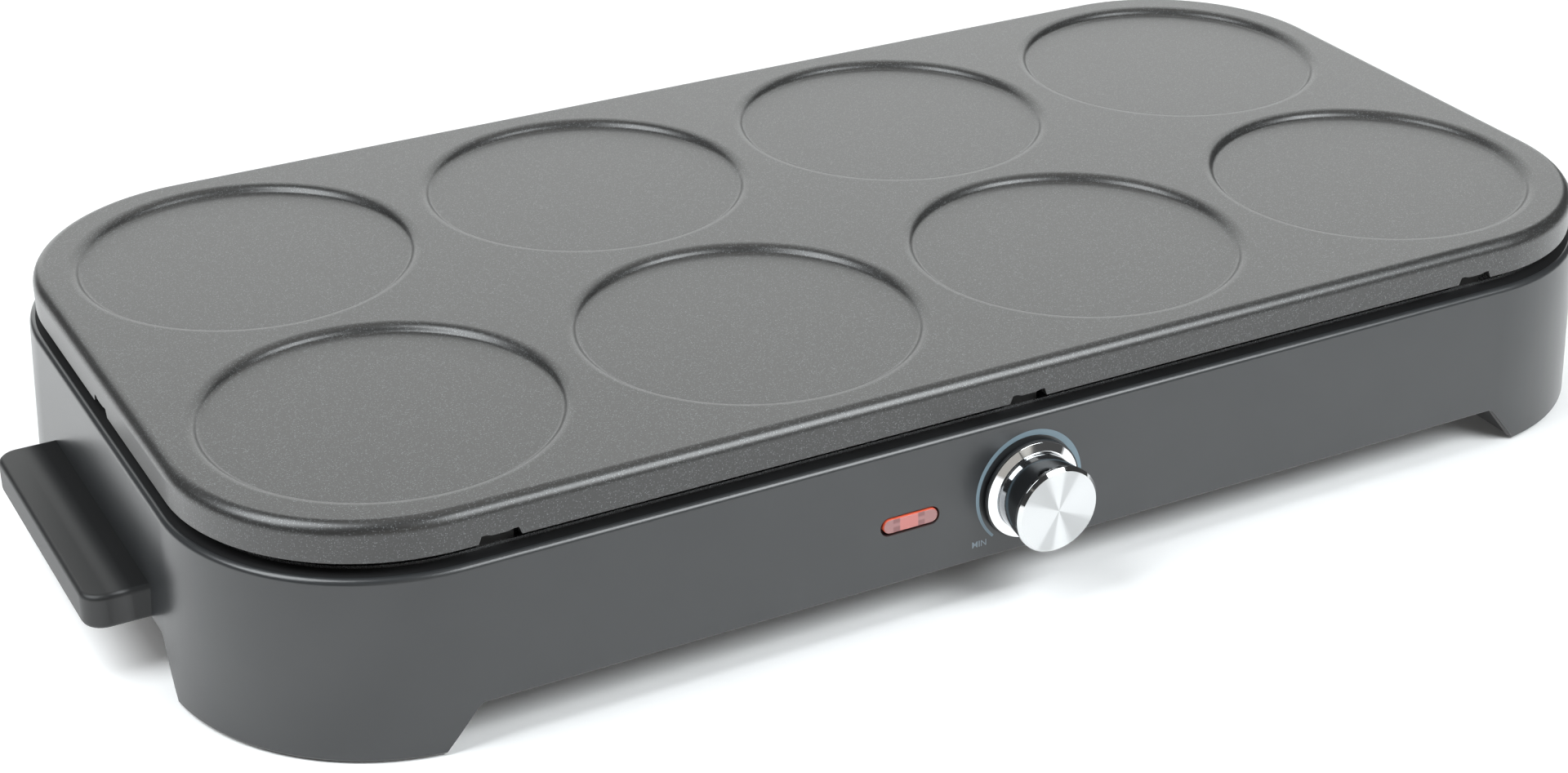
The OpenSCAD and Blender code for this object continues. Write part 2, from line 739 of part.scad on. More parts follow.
module outer_element() { color("#6d6a66") in_frame() element_loop(outer_half_l, outer_half_w,
    outer_bend_r); }

module inner_element() { color("#6d6a66") in_frame() element_loop(inner_half_l, inner_half_w,
    inner_bend_r); }

// A sheet saddle on the tray's floor that holds a rod which runs along X
module saddle(z, d) {
    h = z - tray_floor_top;
    translate([0, 0, tray_floor_top]) difference() {
        union() {
            translate([-saddle_t / 2, -saddle_w / 2, 0]) cube([saddle_t, saddle_w, h + saddle_rise]);
            translate([-saddle_t / 2, -saddle_w / 2, 0]) cube([saddle_foot, saddle_w, saddle_t]);
        }
        translate([-saddle_foot, 0, h]) rod_x(d + 2 * seat_gap, 2 * saddle_foot);
        translate([-saddle_foot, -d / 2 - seat_gap, h])
            cube([2 * saddle_foot, d + 2 * seat_gap, saddle_rise + cut]);
    }
}

module element_saddles() {
    color("#c3c5c8") in_frame() {
        for (sx = [0, 1], sy = [-1, 1]) mirror([sx, 0, 0]) translate([row_x / 2, sy * outer_half_w, 0])
            saddle(tube_z, tube_d);
        for (sx = [0, 1], sy = [-1, 1]) mirror([sx, 0, 0]) translate([row_x / 3, sy * inner_half_w, 0])
            saddle(tube_z, tube_d);
        for (sx = [0, 1]) mirror([sx, 0, 0]) translate([outer_half_l, 0, 0]) rotate([0, 0, 90])
            saddle(tube_z, tube_d);
    }
}

module element_bushes() {
    color("#d8d4c8") in_frame() for (sx = [-1, 1], y = [-outer_half_w, -inner_half_w])
        translate([sx * tube_end_x, y, 0]) difference() {
            union() {
                translate([0, 0, tray_floor - bush_below]) cylinder(d = bush_od, h = bush_below + tray_t);
                translate([0, 0, tray_floor_top]) cylinder(d = bush_flange_d, h = bush_flange_t);
            }
            translate([0, 0, tray_floor - bush_below - cut])
                cylinder(d = tube_d + 2 * seat_gap, h = bush_below + tray_t + bush_flange_t + 2 * cut);
        }
}

tab_top = tube_end_z - pin_l;
tab_bottom = tab_top - tab_l;

module element_tabs() {
    color("#b9bcc0") in_frame() for (sx = [-1, 1], y = [-outer_half_w, -inner_half_w])
        translate([sx * tube_end_x, y, 0]) {
            translate([0, 0, tab_top]) cylinder(d = pin_d, h = pin_l);
            translate([-tab_w / 2, -tab_t / 2, tab_bottom]) cube([tab_w, tab_t, tab_l]);
        }
}

module thermostat_body() {
    color("#e6e1d3") in_frame() translate([knob_x, -thermostat_front, knob_z]) {
        difference() {
            union() {
                translate([-thermostat_w / 2, 0, -thermostat_h / 2])
                    cube([thermostat_w, thermostat_l, thermostat_h]);
                translate([0, -bracket_t - nut_h - bush_end, 0])
                    rod_y(bush_d, bracket_t + nut_h + bush_end + cut);
            }
            translate([0, -bracket_boss_h, 0])
                rod_y(spindle_d + 2 * run_gap, bracket_boss_h + spindle_in_body + spindle_end_gap);
        }
        for (sx = [-1, 1]) translate([sx * tab_x - tab_w / 2, thermostat_l, -tab_t / 2])
            cube([tab_w, tab_l, tab_t]);
    }
}

module thermostat_bracket() {
    color("#a9acb0") in_frame() translate([knob_x, -bracket_y, knob_z]) difference() {
        translate([-bracket_w / 2, 0, -bracket_h / 2]) cube([bracket_w, bracket_t, bracket_h]);
        translate([0, -cut, 0]) rod_y(bush_d + 2 * seat_gap, bracket_t + 2 * cut);
        for (sx = [-1, 1]) translate([sx * bracket_screw_x, -cut, 0])
            rod_y(screw_d + 2 * seat_gap, bracket_t + 2 * cut);
    }
}

module thermostat_nut() {
    color("#b9bcc0") in_frame() translate([knob_x, -bracket_y - nut_h, knob_z]) difference() {
        rotate([-90, 0, 0]) cylinder(d = nut_d, h = nut_h, $fn = 6);
        translate([0, -cut, 0]) rod_y(bush_d + 2 * seat_gap, nut_h + 2 * cut);
    }
}

module bracket_screws() {
    color("#b9bcc0") in_frame() for (sx = [-1, 1])
        translate([knob_x + sx * bracket_screw_x, -thermostat_front, knob_z]) rotate([-90, 0, 0])
            screw(bracket_t + bracket_boss_h - bush_end);
}

module thermostat_spindle() {
    back_y = -thermostat_front + spindle_in_body;
    front_y = -wall_y - spindle_in_hub;
    flat_l = spindle_in_hub - knob_back;
    color("#c9ccd0") in_frame() translate([knob_x, front_y, knob_z]) difference() {
        rod_y(spindle_d, back_y - front_y);
        translate([-spindle_d, -cut, spindle_d / 2 - spindle_flat])
            cube([2 * spindle_d, flat_l + cut, spindle_d]);
    }
}

module sensor_bulb() {
    color("#b5794f") in_frame() translate([-bulb_l / 2, 0, bulb_z]) rod_x(bulb_d, bulb_l);
}

module bulb_saddles() {
    color("#c3c5c8") in_frame() for (sx = [0, 1]) mirror([sx, 0, 0]) translate([bulb_saddle_x, 0, 0])
        saddle(bulb_z, bulb_d);
}

// The thin tube runs under the tray and comes up through it to the bulb
module capillary() {
    run_z = knob_z + thermostat_h / 3;
    start = [knob_x + tab_x / 2, -thermostat_back + lead_gap, run_z];
    end = [bulb_l / 2 + lead_gap, 0, bulb_z];
    color("#b5794f") in_frame() lead([
        start, start + out_y, start + 2 * out_y,
        [capillary_x - 3 * lead_step, -outer_half_w + 6 * lead_step, run_z],
        [capillary_x, fuse_y - 2 * lead_step, run_z],
        [capillary_x, -4 * lead_step, run_z], [capillary_x, -lead_step, run_z + lead_step],
        [capillary_x, 0, tray_floor], [capillary_x, 0, bulb_z - lead_step],
        [capillary_x - 2 * lead_step, 0, bulb_z], end + out_x, end
    ], capillary_d);
}

module thermal_fuse() {
    color("#d8d4c8") in_frame() translate([fuse_x, fuse_y, tray_floor]) {
        translate([0, 0, -fuse_h]) cylinder(d = fuse_d, h = fuse_h);
        translate([-fuse_ear_w / 2, -fuse_d / 4, -fuse_ear_t]) cube([fuse_ear_w, fuse_d / 2, fuse_ear_t]);
        for (sx = [-1, 1]) translate([sx * fuse_tab_x - tab_t / 2, -tab_w / 2, -fuse_h - tab_l])
            cube([tab_t, tab_w, tab_l]);
    }
}

module pilot_lens() {
    front = wall_y + lens_out;
    color("#b8322c") in_frame() translate([lens_x, 0, knob_z]) difference() {
        union() {
            translate([0, -front, 0]) pill_bar(lens_l, lens_h, front - lens_flange_y);
            translate([0, -lens_flange_y, 0]) pill_bar(holder_w, holder_h, lens_flange_t);
        }
        translate([0, -front + lens_wall, 0])
            pill_bar(lens_l - 2 * lens_wall, lens_h - 2 * lens_wall, front);
    }
}

module lamp_holder() {
    color("#dedbd2") in_frame() translate([lens_x, -lens_flange_y + lens_flange_t, knob_z]) difference() {
        translate([-holder_w / 2, 0, -holder_h / 2]) cube([holder_w, holder_l, holder_h]);
        translate([0, -cut, 0])
            pill_bar(lens_l - 2 * lens_wall, lens_h - 2 * lens_wall + 1.2, holder_l - holder_back_t + cut);
    }
}

// The neon lies along the lens, against the back of its holder
module pilot_lamp() {
    y = -lens_flange_y + lens_flange_t + holder_l - holder_back_t - lamp_d / 2;
    color("#f0a070") in_frame() translate([lens_x - lamp_l / 2, y, knob_z]) {
        rod_x(lamp_d, lamp_l);
        for (e = [0, lamp_l]) translate([e, 0, 0]) sphere(d = lamp_d);
    }
}

module terminal_block() {
    color("#e6e1d3") in_frame() translate([gland_x, block_y, cover_top]) difference() {
        translate([-block_w / 2, -block_l / 2, 0]) cube([block_w, block_l, block_h]);
        for (i = [-1 : 1]) {
            translate([i * block_pitch, -block_l / 2 - cut, block_wire_z - cover_top])
                rod_y(block_hole_d, block_l + 2 * cut);
            translate([i * block_pitch, 0, block_wire_z - cover_top])
                cylinder(d = block_screw_d + 2 * seat_gap, h = block_h);
        }
    }
}

module terminal_screws() {
    color("#c9a94e") in_frame() for (i = [-1 : 1])
        translate([gland_x + i * block_pitch, block_y, block_wire_z + block_hole_d / 2])
            cylinder(d = block_screw_d, h = block_h - block_wire_h - block_hole_d / 2 - block_screw_sink);
}

module cord_gland() {
    color("#202122") in_frame() translate([gland_x, gland_seat, gland_z]) difference() {
        union() {
            rod_y(gland_flange_d, gland_flange_t);
            translate([0, -gland_inner_l, 0]) rod_y(gland_neck_d, gland_inner_l);
        }
        translate([0, -gland_inner_l - cut, 0]) rod_y(gland_bore, gland_inner_l + gland_flange_t + 2 * cut);
    }
}

module gland_nut() {
    color("#202122") in_frame() translate([gland_x, gland_nut_y, gland_z]) difference() {
        rotate([-90, 0, 0]) cylinder(d = gland_nut_d, h = gland_nut_t, $fn = 6);
        translate([0, -cut, 0]) rod_y(gland_neck_d + 2 * seat_gap, gland_nut_t + 2 * cut);
    }
}

module earth_tag() {
    color("#c9ccd0") in_frame() translate([earth_x, earth_y, tray_floor - tab_t]) difference() {
        union() {
            cylinder(d = earth_tag_w, h = tab_t);
            translate([0, -tab_w / 2, 0]) cube([earth_tag_l, tab_w, tab_t]);
        }
        translate([0, 0, -cut]) cylinder(d = screw_d + 2 * seat_gap, h = tab_t + 2 * cut);
    }
}

module earth_screw() {
    color("#c9a94e") in_frame() translate([earth_x, earth_y, tray_floor - tab_t]) {
        mirror([0, 0, 1]) screw(tab_t + tray_t + 4);
        translate([0, 0, tab_t + tray_t]) difference() {
            cylinder(d = screw_head_d, h = screw_head_h, $fn = 6);
            translate([0, 0, -cut]) cylinder(d = screw_d - seat_gap, h = screw_head_h + 2 * cut);
        }
    }
}

// Ends of the leads: terminal block ways, thermostat tabs, fuse tabs and element tabs
function block_way(i) = [gland_x + i * block_pitch, block_y - block_l / 2 - lead_gap, block_wire_z];
function thermostat_tab(s) = [knob_x + s * tab_x, -thermostat_back + tab_l + lead_gap, knob_z];
function element_tab(s, y) = [s * tube_end_x, y, tab_bottom - lead_gap];
function fuse_tab(s) = [fuse_x + s * fuse_tab_x, fuse_y, tray_floor - fuse_h - tab_l - lead_gap];
// Height of the leads that lie on the bottom cover, and the step their routes are set out in
lead_z = cover_top + lead_d / 2 + 1;
lead_step = 4;
out_x = [lead_step, 0, 0];
out_y = [0, lead_step, 0];
out_z = [0, 0, lead_step];
beside = [lead_d + lead_gap, 0, 0];

module live_lead() {
    a = block_way(1);
    b = thermostat_tab(1);
    color("#6b4a32") in_frame() lead([
        a, a - 2 * out_y,
        [a[0] + lead_step, earth_y, lead_z],
        [a[0] - 2 * lead_step, -2 * lead_step, lead_z],
        [fuse_x + 2 * lead_step, fuse_y - 3 * lead_step, lead_z],
        [b[0] + 4 * lead_step, -outer_half_w + 5 * lead_step, lead_z + lead_step],
        b + 2 * out_y - out_z / 2, b + out_y, b
    ], lead_d);
}

module switched_lead() {
    a = thermostat_tab(-1);
    b = fuse_tab(-1);
    color("#6b4a32") in_frame() lead([
        a, a + out_y, a + 4 * out_y + out_x - out_z,
        [knob_x + 3 * lead_step, fuse_y - 3 * lead_step, lead_z + lead_step],
        [b[0] - 6 * lead_step, b[1], lead_z + lead_step],
        [b[0] - lead_step, b[1], lead_z + lead_step],
        b - out_z, b
    ], lead_d);
}

module heater_lead() {
    a = fuse_tab(1);
    b = element_tab(1, -inner_half_w);
    c = element_tab(1, -outer_half_w);
    low = lead_z + 2 * lead_step;
    color("#8a2f2a") in_frame() {
        lead([
            a, a - out_z, [a[0] - lead_step, a[1] + 2 * lead_step, lead_z + lead_step],
            [b[0] + 5 * lead_step, b[1] + 2 * lead_step, lead_z + lead_step],
            [b[0] + lead_step, b[1] + lead_step, lead_z + lead_step], b - out_z, b
        ], lead_d);
        lead([
            b + beside, b + beside - out_z, [b[0] + 2 * lead_step, b[1] - 2 * lead_step, low],
            [c[0] + lead_step, c[1] + 3 * lead_step, low], c - out_z, c
        ], lead_d);
    }
}

module neutral_lead() {
    a = block_way(0);
    b = element_tab(-1, -inner_half_w);
    c = element_tab(-1, -outer_half_w);
    low = lead_z + 2 * lead_step;
    color("#35507a") in_frame() {
        lead([
            a, a - 2 * out_y, [a[0] - lead_step, earth_y - lead_step, lead_z],
            [a[0] - 10 * lead_step, lead_step, lead_z], [tube_end_x + 2 * lead_step, 0, lead_z],
            [b[0] + 4 * lead_step, b[1] + 4 * lead_step, lead_z],
            [b[0], b[1] + lead_step, lead_z + lead_step], b - out_z, b
        ], lead_d);
        lead([
            b - beside, b - beside - out_z, [b[0] - 2 * lead_step, b[1] - 2 * lead_step, low],
            [c[0] - lead_step, c[1] + 3 * lead_step, low], c - out_z, c
        ], lead_d);
    }
}

module earth_lead() {
    a = block_way(-1);
    b = [earth_x + earth_tag_l + lead_gap, earth_y, tray_floor - tab_t - lead_d / 2];
    color("#5f7a35") in_frame() lead([
        a, a - 2 * out_y, [a[0] + lead_step, earth_y - lead_step, lead_z + 2 * lead_step],
        [b[0] + 3 * lead_step, b[1], lead_z + 4 * lead_step], b + 2 * out_x - out_z, b + out_x, b
    ], lead_d);
}

// Two thin leads from the lamp, one to the thermostat's side and one to the neutral tab
module lamp_leads() {
    back = -lens_flange_y + lens_flange_t + holder_l + lead_gap;
    d = lead_d * 0.6;
    side = lamp_l / 2;
    a = [lens_x + side, back, knob_z];
    b = [knob_x - thermostat_w / 2 - lead_gap, -thermostat_back - 2 * lead_step, knob_z];
    c = [lens_x - side, back, knob_z];
    e = element_tab(-1, -outer_half_w) + [-tab_w / 2 - d / 2 - lead_gap, 0, lead_step];
    color("#3b3c3e") in_frame() {
        lead([a, a + out_y, a + out_x + 2 * out_y, b - 2 * out_x + out_y, b - out_x, b], d);
        lead([c, c + out_y, c + out_x / 2 + 4 * out_y - out_z, e - 3 * out_x + out_y - 2 * out_z,
            e - out_x / 2 - 2 * out_z, e - out_z, e], d);
    }
}

module knob_skirt() {
    color("#1b1c1d") in_frame()
        knob_turning([[knob_hub_d / 2 + seat_gap, knob_back], [knob_skirt_d / 2, knob_back],
        [knob_skirt_d / 2, knob_ring_at], [knob_hub_d / 2 + seat_gap, knob_ring_at]]);
}

module knob_ring() {
    color("#d9dbdd") in_frame()
        knob_turning([[knob_body_d / 2 + seat_gap, knob_ring_at], [knob_ring_d / 2, knob_ring_at],
        [knob_ring_inner_d / 2, knob_ring_at + knob_ring_t],
            [knob_body_d / 2 + seat_gap, knob_ring_at + knob_ring_t]]);
}

// A plated cup with a hub inside, whose bore has the spindle's flat
module knob_body() {
    bore = spindle_d + 2 * seat_gap;
    inner_back = knob_body_d / 2 - knob_wall;
    inner_front = knob_nose_d / 2 - knob_wall;
    color("#c7c9cb") in_frame() difference() {
        union() {
            knob_turning([[inner_back, knob_ring_at], [knob_body_d / 2, knob_ring_at],
                [knob_body_d / 2, knob_ring_at + knob_ring_t], [knob_nose_d / 2, knob_cap_at],
                [0, knob_cap_at], [0, knob_cap_at - knob_wall], [inner_front, knob_cap_at - knob_wall]]);
            on_knob_axis(knob_cap_at - knob_wall / 2)
                rod_y(knob_hub_d, knob_cap_at - knob_wall / 2 - knob_back);
        }
        difference() {
            on_knob_axis(spindle_in_hub + seat_gap) rod_y(bore, spindle_in_hub);
            on_knob_axis(spindle_in_hub + cut) translate([-bore, 0, bore / 2 - spindle_flat])
                cube([2 * bore, spindle_in_hub - knob_back - 0.5 + cut, bore]);
        }
    }
}

module knob_cap() {
    color("#e4e5e6") in_frame() knob_turning([[0, knob_cap_at], [knob_cap_d / 2, knob_cap_at],
        [knob_cap_d / 2, knob_out - knob_chamfer_h], [knob_cap_d / 2 - knob_chamfer, knob_out],
            [0, knob_out]]);
}

// A split spring ring that grips the hub round the spindle
module knob_clip() {
    t = 0.8;
    l = 5;
    slit = 2;
    color("#9b9ea2") in_frame() on_knob_axis(knob_ring_at + l + 1) difference() {
        rod_y(knob_hub_d + 2 * seat_gap + 2 * t, l);
        translate([0, -cut, 0]) rod_y(knob_hub_d + 2 * seat_gap, l + 2 * cut);
        translate([-slit / 2, -cut, 0]) cube([slit, l + 2 * cut, knob_hub_d]);
    }
}

// One notch, seen from outside the skirt, with its two ends a little higher than its middle
module notch_outline() {
    ear = 3.2;
    lean = 1;
    half = notch_w / 2;
    polygon([[-half - lean, -cut], [-half, 0], [-half + lean, notch_h], [-half + lean + ear / 2, notch_h],
        [-half + lean + ear, notch_h - notch_drop], [half - lean - ear, notch_h - notch_drop],
        [half - lean - ear / 2, notch_h], [half - lean, notch_h], [half, 0], [half + lean, -cut]]);
}

module cooking_plate() {
    inside = plate_corner_r / 2;
    skirt_profile = concat(
        [[-inside, deck_z], [-skirt_t, deck_z], [-skirt_t, skirt_z], [0, skirt_z]],
        arc_points([-plate_edge_r, plate_top - plate_edge_r], plate_edge_r, 0, 90, 6),
        [[-inside, plate_top]]
    );
    well_r = well_d / 2;
    well_floor = plate_top - well_depth;
    // The rim's round runs straight into the round at the floor when the well is shallower than both
    both_r = well_rim_r + well_floor_r;
    bend_turn = asin(max(0, both_r - well_depth) / both_r);
    floor_centre = [well_r - both_r * cos(bend_turn), well_floor + well_floor_r];
    well_profile = concat(
        [[0, well_floor]],
        arc_points(floor_centre, well_floor_r, -90, -bend_turn),
        arc_points([well_r, plate_top - well_rim_r], well_rim_r, 180 - bend_turn, 90),
        [[well_r, plate_top + cut], [0, plate_top + cut]]
    );
    color("#55575a") in_frame() difference() {
        union() {
            outline_wall(skirt_profile);
            outline_plate(-inside, deck_z, plate_top);
            for (x = [-row_x : pitch_x : row_x], y = [-row_y : pitch_y : row_y])
                translate([x, y, well_under])
                    cylinder(r = well_r + deck_t - well_rim_r, h = deck_z - well_under + deck_t / 2);
            for (p = rest_places) translate([p[0], p[1], well_under]) rotate([0, 0, p[2]])
                translate([-rest_w / 2, -rest_l / 2, 0])
                    cube([rest_w, rest_l, deck_z - well_under + deck_t / 2]);
        }
        for (x = [-row_x : pitch_x : row_x], y = [-row_y : pitch_y : row_y])
            translate([x, y, 0]) rotate_extrude() polygon(well_profile);
        for (sy = [-1, 1], x = [-notch_x, 0, notch_x]) translate([x, sy * half_w, skirt_z])
            rotate([90, 0, 0]) linear_extrude(4 * skirt_t, center = true) notch_outline();
        for (sx = [-1, 1]) translate([sx * half_l, 0, skirt_z])
            rotate([90, 0, 90]) linear_extrude(4 * skirt_t, center = true) notch_outline();
    }
}

base_front();
base_back();
base_left();
base_right();
corner_feet();
bottom_cover();
cover_screws();
foot_pads();
handle_left();
handle_right();
handle_screws();
reflector_tray();
plate_rests();
rest_screws();
outer_element();
inner_element();
element_saddles();
element_bushes();
element_tabs();
thermostat_body();
thermostat_bracket();
thermostat_nut();
bracket_screws();
thermostat_spindle();
sensor_bulb();
bulb_saddles();
capillary();
thermal_fuse();
pilot_lens();
lamp_holder();
pilot_lamp();
terminal_block();
terminal_screws();
cord_gland();
gland_nut();
earth_tag();
earth_screw();
live_lead();
neutral_lead();
switched_lead();
heater_lead();
earth_lead();
lamp_leads();
knob_skirt();
knob_ring();
knob_body();
knob_cap();
knob_clip();
cooking_plate();
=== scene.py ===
import math

import bpy
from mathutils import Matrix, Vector
from mathutils.geometry import delaunay_2d_cdt


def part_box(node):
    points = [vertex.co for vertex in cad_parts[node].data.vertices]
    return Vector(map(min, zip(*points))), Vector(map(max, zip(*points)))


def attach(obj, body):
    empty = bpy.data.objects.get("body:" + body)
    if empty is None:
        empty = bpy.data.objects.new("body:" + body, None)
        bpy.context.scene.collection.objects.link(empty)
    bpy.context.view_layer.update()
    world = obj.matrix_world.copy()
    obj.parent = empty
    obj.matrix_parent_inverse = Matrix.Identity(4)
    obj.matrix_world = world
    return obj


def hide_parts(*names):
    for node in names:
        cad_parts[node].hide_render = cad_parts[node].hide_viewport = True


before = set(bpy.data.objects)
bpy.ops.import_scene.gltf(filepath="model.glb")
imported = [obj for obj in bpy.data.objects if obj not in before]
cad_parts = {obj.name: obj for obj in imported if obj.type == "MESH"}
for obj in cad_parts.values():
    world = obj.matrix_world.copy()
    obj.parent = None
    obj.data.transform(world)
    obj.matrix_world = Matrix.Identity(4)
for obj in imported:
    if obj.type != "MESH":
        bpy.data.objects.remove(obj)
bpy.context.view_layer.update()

# Base: one injection moulding with a satin charcoal coat outside; its ledge and inside faces are near
# black, painted shade for the deep dark gap under the plate.
# Its wall leans outwards from a rounded rim down to four corner feet, a ledge runs in from the rim
# under the plate, and the pilot lens shows through a slot in the front.
MM = 0.001
plate_low, plate_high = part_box("cooking_plate")
half_l = (plate_high.x - plate_low.x) / 2 / MM
half_w = (plate_high.y - plate_low.y) / 2 / MM
middle_y = (plate_high.y + plate_low.y) / 2
corner_r = 65.8
corner_x = half_l - corner_r
corner_y = half_w - corner_r
corner_steps = 36
rim_h = 60.5
rim_r = 2.0
rim_steps = 10
rim_reach = 2.6
wall_slope = 0.05
wall_t = 3.0
wall_lean = math.atan(wall_slope)
rim_slope = 0.14
ledge_in = 12.0
ledge_z = rim_h - wall_t
low_edge_r = 0.6
low_edge_steps = 3
foot_z = 0.8
foot_lean = 11.5
foot_top = 18.5
foot_in_r = 42.0
foot_steps = 18
front_gap_half = 189.5
front_gap_top = 14.5
end_gap_half = 62.1
end_gap_top = 18.5
gap_blend = 1.6
slot_x = -44.6
slot_z = 34.95
slot_l = 20.7
slot_h = 5.9
slot_edge = 0.3
slot_bend = 0.3 * slot_edge
slot_mouth_look = 0.6


def in_frame(point):
    """A point in millimetres about the plate's middle, put into the frame in metres."""
    return (point[0] * MM, point[1] * MM + middle_y, point[2] * MM)


class Skin:
    """The surface of one piece: faces whose corners are a point in mm and the way they look."""

    def __init__(self):
        self.faces = []

    def face(self, corners):
        """One face; a corner whose way is None takes the way of the face."""
        self.faces.append(corners)

    def sheet(self, rows):
        """Faces between rows of corners, each row as long as the next."""
        for row, next_row in zip(rows, rows[1:]):
            for a, b, c, d in zip(row, row[1:], next_row[1:], next_row):
                self.face([a, b, c, d])

    def fill(self, loops, lift, way):
        """A face inside the first closed loop of 2-D points, with the other, convex loops cut out of it."""
        flat, edges, owner = [], [], []
        for number, loop in enumerate(loops):
            first = len(flat)
            flat += loop
            owner += [number] * len(loop)
            edges += [(first + i, first + (i + 1) % len(loop)) for i in range(len(loop))]
        made = delaunay_2d_cdt([Vector(p) for p in flat], edges, [], 1, 1e-6)
        for triangle in made[2]:
            corners = [made[3][i][0] for i in triangle]
            owners = {owner[i] for i in corners}
            if owners == {0} or len(owners) > 1:
                self.face([(lift(flat[i]), way(flat[i])) for i in corners])

    def mesh(self, name):
        """The mesh, with points welded, faces turned outwards and the stated ways as its normals."""
        points, at, faces, ways = [], {}, [], []
        for corners in self.faces:
            ring = []
            for point, way in corners:
                key = tuple(round(v, 3) for v in point)
                if key not in at:
                    at[key] = len(points)
                    points.append(Vector(in_frame(point)))
                if at[key] not in [i for i, _ in ring]:
                    ring.append((at[key], way))
            if len(ring) < 3:
                continue
            spots = [points[i] for i, _ in ring]
            flat = Vector((0, 0, 0))
            for p, q in zip(spots, spots[1:] + spots[:1]):
                flat += (p - spots[0]).cross(q - spots[0])
            if flat.length == 0:
                continue
            flat.normalize()
            stated = [Vector(way).normalized() for _, way in ring if way]
            if stated and sum(stated, Vector((0, 0, 0))).dot(flat) < 0:
                ring.reverse()
                flat.negate()
            faces.append([i for i, _ in ring])
            ways += [Vector(way).normalized() if way else flat for _, way in ring]
        mesh = bpy.data.meshes.new(name)
        mesh.from_pydata(points, [], faces)
        mesh.polygons.foreach_set("use_smooth", [True] * len(faces))
        mesh.normals_split_custom_set(ways)
        return mesh

    def piece(self, name, material):
        """The finished object at the origin."""
        made = bpy.data.objects.new(name, self.mesh(name))
        made.data.materials.append(material)
        bpy.context.scene.collection.objects.link(made)
        return made


def finish(name, dark, light, rough, grain, bump, metal=0.0, shine=0.5, spread=0.05):
    """A procedural finish: colour drifts between two tones, and a fine grain moves gloss and surface."""
    made = bpy.data.materials.new(name)
    made.use_nodes = True
    nodes, link = made.node_tree.nodes, made.node_tree.links.new
    shader = nodes["Principled BSDF"]
    shader.inputs["Metallic"].default_value = metal
    shader.inputs["Specular IOR Level"].default_value = shine
    where = nodes.new("ShaderNodeTexCoord")
    broad = nodes.new("ShaderNodeTexNoise")
    broad.inputs["Scale"].default_value = 40.0
    broad.inputs["Detail"].default_value = 4.0
    link(where.outputs["Object"], broad.inputs["Vector"])
    tones = nodes.new("ShaderNodeValToRGB")
    tones.color_ramp.elements[0].color = (*dark, 1)
    tones.color_ramp.elements[0].position = 0.3
    tones.color_ramp.elements[1].color = (*light, 1)
    tones.color_ramp.elements[1].position = 0.7
    link(broad.outputs["Fac"], tones.inputs["Fac"])
    link(tones.outputs["Color"], shader.inputs["Base Color"])
    fine = nodes.new("ShaderNodeTexNoise")
    fine.inputs["Scale"].default_value = 1 / (grain * MM)
    fine.inputs["Detail"].default_value = 2.0
    link(where.outputs["Object"], fine.inputs["Vector"])
    gloss = nodes.new("ShaderNodeMapRange")
    gloss.inputs["To Min"].default_value = rough - spread
    gloss.inputs["To Max"].default_value = rough + spread
    link(fine.outputs["Fac"], gloss.inputs["Value"])
    link(gloss.outputs["Result"], shader.inputs["Roughness"])
    raised = nodes.new("ShaderNodeBump")
    raised.inputs["Strength"].default_value = 0.5
    raised.inputs["Distance"].default_value = bump * MM
    link(fine.outputs["Fac"], raised.inputs["Height"])
    link(raised.outputs["Normal"], shader.inputs["Normal"])
    return made


def outline(stops_x, stops_y, extra_angles=()):
    """Points round the plate's outline with the way out at each, anticlockwise from the front left."""
    bends = sorted({90 * i / corner_steps for i in range(1, corner_steps)} | set(extra_angles))
    along_x = sorted({-corner_x, corner_x, *stops_x})
    along_y = sorted({-corner_y, corner_y, *stops_y})
    round_it = []

    def bend(sx, sy, start):
        for step in bends:
            a = math.radians(start + step)
            way = (math.cos(a), math.sin(a))
            round_it.append(((sx * corner_x + corner_r * way[0], sy * corner_y + corner_r * way[1]), way))

    round_it += [((x, -half_w), (0, -1)) for x in along_x]
    bend(1, -1, -90)
    round_it += [((half_l, y), (1, 0)) for y in along_y]
    bend(1, 1, 0)
    round_it += [((x, half_w), (0, 1)) for x in reversed(along_x)]
    bend(-1, 1, 90)
    round_it += [((-half_l, y), (-1, 0)) for y in reversed(along_y)]
    bend(-1, -1, 180)
    return round_it + round_it[:1]


def arc(out, up, radius, start, end, steps):
    """Points of a round edge in a section, as distance out, height and the way the surface looks."""
    found = []
    for i in range(steps + 1):
        a = math.radians(start + (end - start) * i / steps)
        found.append((out + radius * math.cos(a), up + radius * math.sin(a), math.cos(a), math.sin(a)))
    return found


def carried(stations, section):
    """Rows of corners made by carrying a section round an outline; section(station) lists its points."""
    columns = []
    for spot, way in stations:
        columns.append([
            ((spot[0] + out * way[0], spot[1] + out * way[1], up),
             None if n_out is None else (n_out * way[0], n_out * way[1], n_up))
            for out, up, n_out, n_up in section((spot, way))
        ])
    return columns


def reach(z):
    """How far the outside of the wall stands out from the plate's outline."""
    return rim_reach + wall_slope * (rim_h - z)


def gap_edge(along, half, top):
    """Height of the wall's lower edge at a distance from the middle of one side."""
    fall = (top - foot_z) / foot_lean
    past = abs(along) - half
    if past < -gap_blend:
        return top
    if past < gap_blend:
        return top - fall * (past + gap_blend) ** 2 / (4 * gap_blend)
    return max(foot_z, top - fall * past)


def lower_edge(station):
    """Height of the wall's lower edge at a station of the outline."""
    spot, way = station
    x = spot[0] + reach(foot_z) * way[0]
    y = spot[1] + reach(foot_z) * way[1]
    front = gap_edge(x, front_gap_half, front_gap_top) if abs(way[1]) > 0.5 else foot_z
    end = gap_edge(y, end_gap_half, end_gap_top) if abs(way[0]) > 0.5 else foot_z
    return max(front, end)


